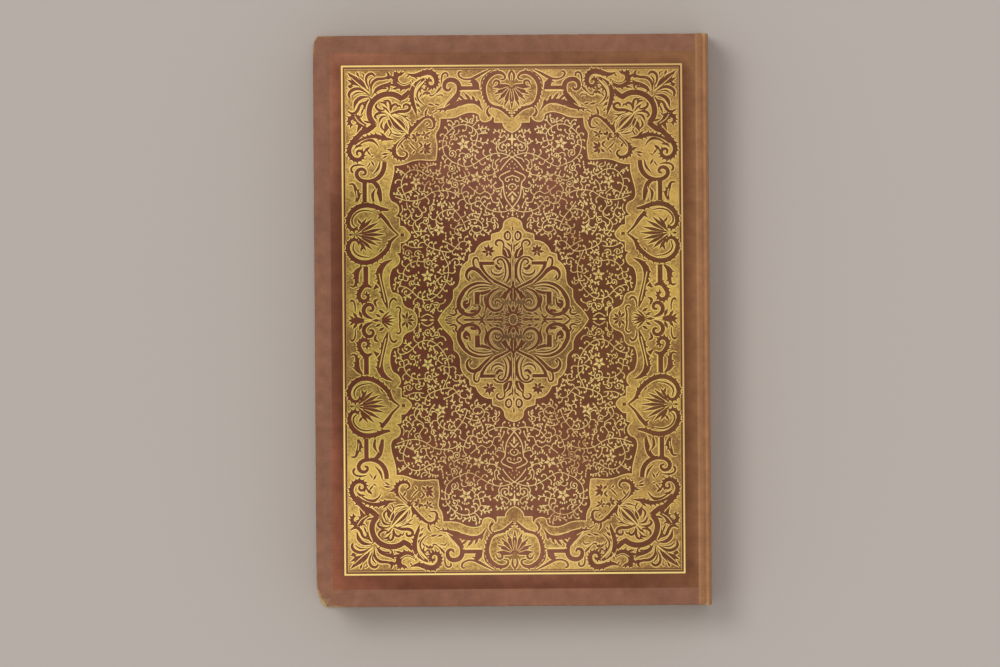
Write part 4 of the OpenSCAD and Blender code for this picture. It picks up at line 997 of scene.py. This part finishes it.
def coverPiece(side):
    size = coverSheet
    bm = bmesh.new()
    bottom = bm.faces.new([bm.verts.new((x, y, turnLow + size["lowRound"])) for x, y in coverOutline()])
    rise = topZ - turnLow - size["lowRound"] - size["round"]
    raised = bmesh.ops.extrude_face_region(bm, geom=[bottom])["geom"]
    bmesh.ops.translate(bm, verts=[v for v in raised if isinstance(v, bmesh.types.BMVert)], vec=(0, 0, rise))
    top = next(f for f in raised if isinstance(f, bmesh.types.BMFace))
    bmesh.ops.recalc_face_normals(bm, faces=bm.faces)
    for face, radius in ((top, size["round"]), (bottom, size["lowRound"])):
        last = (0.0, 0.0)
        for angle in (30, 60, 90):
            a = math.radians(angle)
            place = (radius * (1 - math.cos(a)), radius * math.sin(a))
            bmesh.ops.inset_region(bm, faces=[face], thickness=place[0] - last[0], depth=place[1] - last[1],
                                   use_even_offset=True, use_boundary=True)
            last = place
    rim = bottom.edges[:]
    bmesh.ops.delete(bm, geom=[bottom], context="FACES_ONLY")
    turned = bmesh.ops.extrude_edge_only(bm, edges=rim)["geom"]
    for vertex in turned:  # turned in over three edges of the board, under the pastedown
        if isinstance(vertex, bmesh.types.BMVert):
            vertex.co.x = max(vertex.co.x, foreX + size["turnIn"])
            vertex.co.y = max(size["turnIn"] - halfHeight, min(halfHeight - size["turnIn"], vertex.co.y))
    bmesh.ops.remove_doubles(bm, verts=bm.verts, dist=0.001)
    bmesh.ops.recalc_face_normals(bm, faces=bm.faces)
    everything = bm.verts[:] + bm.edges[:] + bm.faces[:]
    bmesh.ops.bisect_plane(bm, geom=everything, dist=1e-4, plane_co=(boardEnd, 0, 0), plane_no=(1, 0, 0),
                           clear_outer=True)
    cuts = [((x, 0, 0), (1, 0, 0)) for x in panelEdges[:2] for x in (x - size["step"] / 2, x + size["step"] / 2)]
    cuts += [((0, y + half, 0), (0, 1, 0)) for y in (-panelEdges[2], panelEdges[2])
             for half in (-size["step"] / 2, size["step"] / 2)]
    cuts += [((foreX + size["cell"] * (i + 0.5), 0, 0), (1, 0, 0))
             for i in range(int((boardEnd - foreX) / size["cell"]))]
    cuts += [((0, size["cell"] * i, 0), (0, 1, 0)) for i in range(-14, 15)]
    cuts += [((foreX + 3, 0, 0), (1, 0, 0)), ((0, halfHeight - 3, 0), (0, 1, 0)), ((0, 3 - halfHeight, 0), (0, 1, 0))]
    for point, normal in cuts:
        everything = bm.verts[:] + bm.edges[:] + bm.faces[:]
        bmesh.ops.bisect_plane(bm, geom=everything, dist=1e-4, plane_co=point, plane_no=normal)
    for vertex in bm.verts:
        x, y, z = vertex.co
        if z > topZ - 0.01 and panelEdges[0] < x < panelEdges[1] and abs(y) < panelEdges[2]:
            vertex.co.z -= size["drop"]
        if edgeDistance(x, y) < 0.3 and x < boardEnd - 1:  # the rubbed edges are a little uneven
            wobble = 0.12 * (1 + noise.noise((x * 0.08, y * 0.08, 3.1)))
            vertex.co.x += wobble if x < foreX + 6 else 0
            vertex.co.y -= math.copysign(wobble, y) if abs(y) > halfHeight - 6 else 0
    bmesh.ops.transform(bm, verts=bm.verts, matrix=Matrix.Scale(mm, 4))
    if side == "front":
        turnOver(bm)
    piece = pieceFrom(side + "_cover_cloth", bm, coverCloth, side + "_cover", [side + "_cloth"])
    paintTone(piece.data, clothTone, coverRub)
    shadeSmooth(piece, 40)
    sheet = piece.modifiers.new("cloth thickness", "SOLIDIFY")
    sheet.thickness = size["sheet"] * mm
    sheet.offset = -1
    return piece


print("covers")
for side in ("back", "front"):
    coverPiece(side)
    lineFrame(side)
    strikeGilding(side)


# Spine: groove, ridge and round in one section, drawn along the book and closed at head and tail

spineSheet = {"reach": 1.9, "groove": 0.6, "ridge": 1.0, "radius": 70, "sheet": 0.38, "steps": 40}


def spineSection():
    size = spineSheet
    ridgeZ = spineHigh.z - topZ / 2
    ridgeX = hingeX + size["reach"]
    half = []
    for i in range(12):
        u = i / 12
        half.append((hingeX + size["reach"] * u, ridgeZ - size["groove"] * (1 - math.cos(2 * math.pi * u)) / 2))
    centreX = spineHigh.x - size["radius"]
    ridgeAngle = math.atan2(ridgeZ - size["ridge"], ridgeX - centreX)
    for i in range(7):
        a = math.pi / 2 + (ridgeAngle - math.pi / 2) * i / 6
        half.append((ridgeX + size["ridge"] * math.cos(a), ridgeZ - size["ridge"] + size["ridge"] * math.sin(a)))
    for i in range(1, 11):
        a = ridgeAngle * (1 - i / 10.5)
        half.append((centreX + size["radius"] * math.cos(a), size["radius"] * math.sin(a)))
    return half + [(x, -z) for x, z in reversed(half)]


def spineTone(x, y):
    # painted shade darkens the cloth in the groove, and a painted highlight lightens it on the ridge; the band past the
    # ridge is also made lighter
    tone = spotTone(clothTones["joint"], x, y)
    grooveShade = math.exp(-((x - hingeX - 0.9) / 0.5) ** 2)
    onRidge = math.exp(-((x - hingeX - 2.0) / 0.5) ** 2)
    faded = math.exp(-((x - hingeX - 3.3) / 0.7) ** 2)
    return tone * (1 - 0.06 * grooveShade + 0.1 * onRidge + 0.22 * faded)


def spineRub(x, y, z):
    near = halfHeight - abs(y)
    rub = max(0, 0.6 - near * 0.16)
    onRidge = math.exp(-((x - hingeX - 2.0) / 0.5) ** 2)
    worn = 0.45 * math.exp(-((x - hingeX - 0.4) / 1.1) ** 2 - ((abs(y) - 139.4) / 1.8) ** 2)
    return min(0.9, rub + 0.22 * onRidge + worn)


def spinePiece():
    size = spineSheet
    bm = bmesh.new()
    section = [bm.verts.new((x, -halfHeight, z + topZ / 2)) for x, z in spineSection()]
    edges = [bm.edges.new(pair) for pair in zip(section, section[1:])]
    places = [0, 0.06, 0.2, 0.5, 1.4, 3, 6, 10]
    stops = places + [16 + (2 * halfHeight - 32) * i / size["steps"] for i in range(size["steps"] + 1)]
    stops += [2 * halfHeight - p for p in reversed(places)]
    for last, place in zip(stops, stops[1:]):
        grown = bmesh.ops.extrude_edge_only(bm, edges=edges)["geom"]
        edges = [e for e in grown if isinstance(e, bmesh.types.BMEdge)]
        bmesh.ops.translate(bm, verts=[v for v in grown if isinstance(v, bmesh.types.BMVert)], vec=(0, place - last, 0))
    for vertex in bm.verts:  # the caps are rounded over, and pinched a little
        near = halfHeight - abs(vertex.co.y)
        if near < 0.5:
            drop = 0.35 * (1 - math.sqrt(max(0, 1 - (1 - near / 0.5) ** 2)))
            vertex.co.z -= math.copysign(drop, vertex.co.z - topZ / 2) if abs(vertex.co.z - topZ / 2) > 12 else 0
            vertex.co.x -= drop if vertex.co.x > hingeX + 2 else 0
    bmesh.ops.recalc_face_normals(bm, faces=bm.faces)
    middle = max(bm.faces, key=lambda f: f.calc_center_median().x)
    if middle.normal.x < 0:
        bmesh.ops.reverse_faces(bm, faces=bm.faces[:])
    bmesh.ops.transform(bm, verts=bm.verts, matrix=Matrix.Scale(mm, 4))
    piece = pieceFrom("spine_cover_cloth", bm, coverCloth, "book_block", ["spine_cloth"])
    paintTone(piece.data, spineTone, spineRub)
    shadeSmooth(piece, 60)
    sheet = piece.modifiers.new("cloth thickness", "SOLIDIFY")
    sheet.thickness = size["sheet"] * mm
    sheet.offset = -1
    return piece


print("spine")
spinePiece()


# Joints: a strip of cloth outside and of paper inside, bending between the cover and the block

def jointStrip(name, path, side, material, halfLength, tone=None):
    bm = bmesh.new()
    line = [bm.verts.new((x, -halfLength, z)) for x, z in path]
    edges = [bm.edges.new(pair) for pair in zip(line, line[1:])]
    for _ in range(30):
        grown = bmesh.ops.extrude_edge_only(bm, edges=edges)["geom"]
        edges = [e for e in grown if isinstance(e, bmesh.types.BMEdge)]
        bmesh.ops.translate(bm, verts=[v for v in grown if isinstance(v, bmesh.types.BMVert)],
                            vec=(0, halfLength / 15, 0))
    bmesh.ops.recalc_face_normals(bm, faces=bm.faces)
    if bm.faces[0].normal.z < 0:
        bmesh.ops.reverse_faces(bm, faces=bm.faces[:])
    bmesh.ops.solidify(bm, geom=bm.faces[:], thickness=0.08)
    bmesh.ops.recalc_face_normals(bm, faces=bm.faces)
    bmesh.ops.transform(bm, verts=bm.verts, matrix=Matrix.Scale(mm, 4))
    if side == "front":
        turnOver(bm)
    piece = pieceFrom(name, bm, material, None)
    if tone:
        paintTone(piece.data, tone)
    shadeSmooth(piece, 60)
    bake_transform(piece)
    return piece


# Paper, thread and board

def pageEdges():
    # Cut edges of a few hundred sheets: straw-coloured, in fine lines that lie flat between the covers
    material, shader = newMaterial("cut edges of rag paper", Roughness=0.8)
    place = addNode(material, "ShaderNodeTexCoord").outputs["Object"]
    thin = addNode(material, "ShaderNodeMapping", {"Vector": place, "Scale": (6, 6, 900)})
    sheets = addNode(material, "ShaderNodeTexNoise", {"Vector": thin.outputs[0], "Scale": 5, "Detail": 5,
                                                      "Roughness": 0.9})
    thick = addNode(material, "ShaderNodeMapping", {"Vector": place, "Scale": (3, 3, 330)})
    sections = addNode(material, "ShaderNodeTexNoise", {"Vector": thick.outputs[0], "Scale": 2, "Detail": 2})
    stain = addNode(material, "ShaderNodeTexNoise", {"Vector": place, "Scale": 60, "Detail": 5})
    paper = addNode(material, "ShaderNodeMix", {"Factor": sheets.outputs["Fac"], 6: rgba("#8E7556"),
                                                7: rgba("#EFE4CC")}, data_type="RGBA")
    aged = addNode(material, "ShaderNodeMix", {"Factor": sections.outputs["Fac"], 6: paper.outputs[2],
                                               7: rgba("#DACAA6")}, data_type="RGBA")
    spots = addNode(material, "ShaderNodeMapRange", {"Value": stain.outputs["Fac"], "From Min": 0.58, "From Max": 0.75,
                                                     "To Max": 0.5})
    colour = addNode(material, "ShaderNodeMix", {"Factor": spots.outputs[0], 6: aged.outputs[2], 7: rgba("#B79B66")},
                     data_type="RGBA")
    connect(material, colour.outputs[2], shader.inputs["Base Color"])
    bump = addNode(material, "ShaderNodeBump", {"Height": sheets.outputs["Fac"], "Strength": 0.5, "Distance": 0.2 * mm})
    connect(material, bump.outputs[0], shader.inputs["Normal"])
    return material


def plainSheet(name, light, dark, scale, bumpHeight=0.1):
    # Fibres of paper, board or linen: matt, a fine grain between two tones, clouded by age
    material, shader = newMaterial(name, Roughness=0.85)
    place = addNode(material, "ShaderNodeTexCoord").outputs["Object"]
    fibre = addNode(material, "ShaderNodeTexNoise", {"Vector": place, "Scale": scale, "Detail": 6, "Roughness": 0.7})
    cloud = addNode(material, "ShaderNodeTexNoise", {"Vector": place, "Scale": 18, "Detail": 3})
    mixed = addNode(material, "ShaderNodeMath", {0: fibre.outputs["Fac"], 1: cloud.outputs["Fac"]},
                    operation="MULTIPLY")
    level = addNode(material, "ShaderNodeMapRange", {"Value": mixed.outputs[0], "From Min": 0.12, "From Max": 0.4})
    colour = addNode(material, "ShaderNodeMix", {"Factor": level.outputs[0], 6: rgba(dark), 7: rgba(light)},
                     data_type="RGBA")
    connect(material, colour.outputs[2], shader.inputs["Base Color"])
    bump = addNode(material, "ShaderNodeBump", {"Height": fibre.outputs["Fac"], "Strength": bumpHeight,
                                                "Distance": 0.1 * mm})
    connect(material, bump.outputs[0], shader.inputs["Normal"])
    return material


edgePaper = pageEdges()
endPaper = plainSheet("laid endpaper, toned by age", "#E6DABC", "#CDBB92", 300)
board = plainSheet("grey-brown millboard", "#A48C69", "#86704F", 500, 0.3)
linen = plainSheet("unbleached linen tape", "#D9CDAF", "#B5A680", 900, 0.4)
gauze = plainSheet("starched gauze", "#CFC29E", "#A99A72", 1200, 0.5)
kraft = plainSheet("kraft lining paper", "#B08958", "#8F6B40", 400, 0.15)

cadFinish = {
    "text_block": edgePaper, "back_flyleaf": endPaper, "front_flyleaf": endPaper, "back_pastedown": endPaper,
    "front_pastedown": endPaper, "back_board": board, "front_board": board, "spine_mull": gauze, "spine_lining": kraft,
    "spine_inlay": kraft, "sewing_tape_1": linen, "sewing_tape_2": linen,
    "sewing_tape_3": linen, "sewing_tape_4": linen,
    "headband": linen, "tailband": linen,
}
for node, material in cadFinish.items():
    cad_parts[node].data.materials.clear()
    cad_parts[node].data.materials.append(material)

outerPath = [(boardEnd - 0.25, topZ + 0.01), (boardEnd, topZ + 0.005)]
outerPath += [(boardEnd + 0.3 * i / 10, topZ - 0.3 * (1 - math.cos(math.pi / 2 * i / 10))) for i in range(1, 11)]
outerPath += [(hingeX + 0.15, topZ - 0.33), (hingeX + 0.4, topZ - 0.42)]
innerPath = [(boardEnd - 0.25, turnLow + 0.03), (boardEnd + 0.04, turnLow + 0.12), (boardEnd + 0.04, topZ - 1.4)]
innerPath += [(boardEnd + 0.125 - 0.085 * math.cos(math.pi * i / 8), topZ - 1.4 + 0.085 * math.sin(math.pi * i / 8))
              for i in range(1, 9)]
innerPath += [(boardEnd + 0.21, turnLow - 0.3), (boardEnd + 0.1, turnLow - 0.38), (boardEnd - 0.3, turnLow - 0.39)]
for side in ("back", "front"):
    jointStrip(side + "_joint_cloth", outerPath, side, coverCloth,
               halfHeight - 0.1, spineTone)
    jointStrip(side + "_joint_paper", innerPath, side, endPaper,
               halfHeight - 3.1)


# Headbands: thread wound over a cord in two colours

headbands = {"cord": 0.98, "round": 66.71, "wraps": 58, "band": 2.0, "colours": ("#A6402F", "#E3D3A8")}


def silkThread():
    # Twisted silk: a soft sheen over fine strands, in bands of two colours along the cord
    material, shader = newMaterial("wound silk thread", Roughness=0.5, Sheen_Weight=0.3)
    place = addNode(material, "ShaderNodeTexCoord").outputs["Object"]
    split = addNode(material, "ShaderNodeSeparateXYZ", {0: place})
    turns = addNode(material, "ShaderNodeMath", {0: split.outputs["Z"], 1: 2 * math.pi / (headbands["band"] * mm)},
                    operation="MULTIPLY")
    wave = addNode(material, "ShaderNodeMath", {0: turns.outputs[0]}, operation="SINE")
    step = addNode(material, "ShaderNodeMath", {0: wave.outputs[0], 1: 0}, operation="GREATER_THAN")
    strands = addNode(material, "ShaderNodeTexNoise", {"Vector": place, "Scale": 2500, "Detail": 2})
    first, second = [rgba(colour) for colour in headbands["colours"]]
    colour = addNode(material, "ShaderNodeMix", {"Factor": step.outputs[0], 6: first, 7: second}, data_type="RGBA")
    connect(material, colour.outputs[2], shader.inputs["Base Color"])
    bump = addNode(material, "ShaderNodeBump", {"Height": strands.outputs["Fac"], "Strength": 0.4,
                                                "Distance": 0.05 * mm})
    connect(material, bump.outputs[0], shader.inputs["Normal"])
    return material


silk = silkThread()


def headbandPiece(node):
    low, high = [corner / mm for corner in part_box(node)]
    sign = 1 if high.y > 0 else -1
    radius = headbands["cord"]
    cordY = (high.y - radius) if sign > 0 else (low.y + radius)
    cordRadius = headbands["round"]
    centreX = spineHigh.x - spineSheet["radius"]
    reach = math.asin((high.z - low.z) / 2 / (cordRadius + 1))
    bm = bmesh.new()
    ring = bmesh.ops.create_circle(bm, segments=10, radius=radius)["verts"]
    place = Matrix.Translation((centreX, cordY, topZ / 2)) @ Matrix.Rotation(reach, 4, "Y")
    bmesh.ops.transform(bm, verts=ring, matrix=place @ Matrix.Translation((cordRadius, 0, 0)))
    edges = list({e for v in ring for e in v.link_edges})
    steps = headbands["wraps"] * 4
    bmesh.ops.spin(bm, geom=ring + edges, cent=(centreX, 0, topZ / 2), axis=(0, 1, 0), angle=-2 * reach, steps=steps)
    bmesh.ops.holes_fill(bm, edges=[e for e in bm.edges if e.is_boundary], sides=0)
    for vertex in bm.verts:  # each turn of the thread swells a little
        angle = math.atan2(vertex.co.z - topZ / 2, vertex.co.x - centreX)
        spot = Vector((centreX + cordRadius * math.cos(angle), cordY, topZ / 2 + cordRadius * math.sin(angle)))
        swell = abs(math.sin((angle / reach + 1) / 2 * headbands["wraps"] * math.pi))
        vertex.co = spot + (vertex.co - spot) * (0.9 + 0.1 * swell)
    bmesh.ops.recalc_face_normals(bm, faces=bm.faces)
    bmesh.ops.transform(bm, verts=bm.verts, matrix=Matrix.Scale(mm, 4))
    piece = pieceFrom(node + "_silk", bm, silk, "book_block")
    shadeSmooth(piece, 60)
    return piece


print("headbands")
for node in ("headband", "tailband"):
    headbandPiece(node)


# Floor, light and camera

print("stage")
stage = {"floor": "#B6ADA6", "half": 2.5, "sky": 0.74, "key": 0.26, "keyHeight": 35, "keySize": 25, "lens": 400,
         "width": 0.5}
# Backdrop paper: pale warm grey, quite matt
floorMaterial, _ = newMaterial("matt backdrop paper", Base_Color=rgba(stage["floor"]), Roughness=1.0,
                               Specular_IOR_Level=0)
bm = bmesh.new()
bmesh.ops.create_grid(bm, x_segments=1, y_segments=1, size=stage["half"])
floorMesh = bpy.data.meshes.new("floor")
bm.to_mesh(floorMesh)
bm.free()
floor = bpy.data.objects.new("floor", floorMesh)
floorMesh.materials.append(floorMaterial)
floor.location.z = -0.0002
scene.collection.objects.link(floor)

world = bpy.data.worlds.new("studio")
world.use_nodes = True
sky = world.node_tree.nodes["Background"]
sky.inputs["Color"].default_value = (1, 1, 1, 1)
sky.inputs["Strength"].default_value = stage["sky"]
scene.world = world
key = bpy.data.lights.new("key", "SUN")
key.energy = stage["key"] * math.pi / math.cos(math.radians(stage["keyHeight"]))
key.angle = math.radians(stage["keySize"])
keyLamp = bpy.data.objects.new("key", key)
keyLamp.rotation_euler = (math.radians(-20), math.radians(-29), 0)
scene.collection.objects.link(keyLamp)

cameraData = bpy.data.cameras.new("camera")
cameraData.lens = stage["lens"]  # a scan looks straight down, so the lens is long
cameraData.sensor_width = 36
camera = bpy.data.objects.new("camera", cameraData)
camera.location = (-0.00625, -0.0065, topZ * mm + stage["width"] * cameraData.lens / 36)
camera.rotation_euler = (0, 0, math.radians(-0.4))
scene.collection.objects.link(camera)
scene.camera = camera
scene.view_settings.view_transform = "Standard"

print("done")
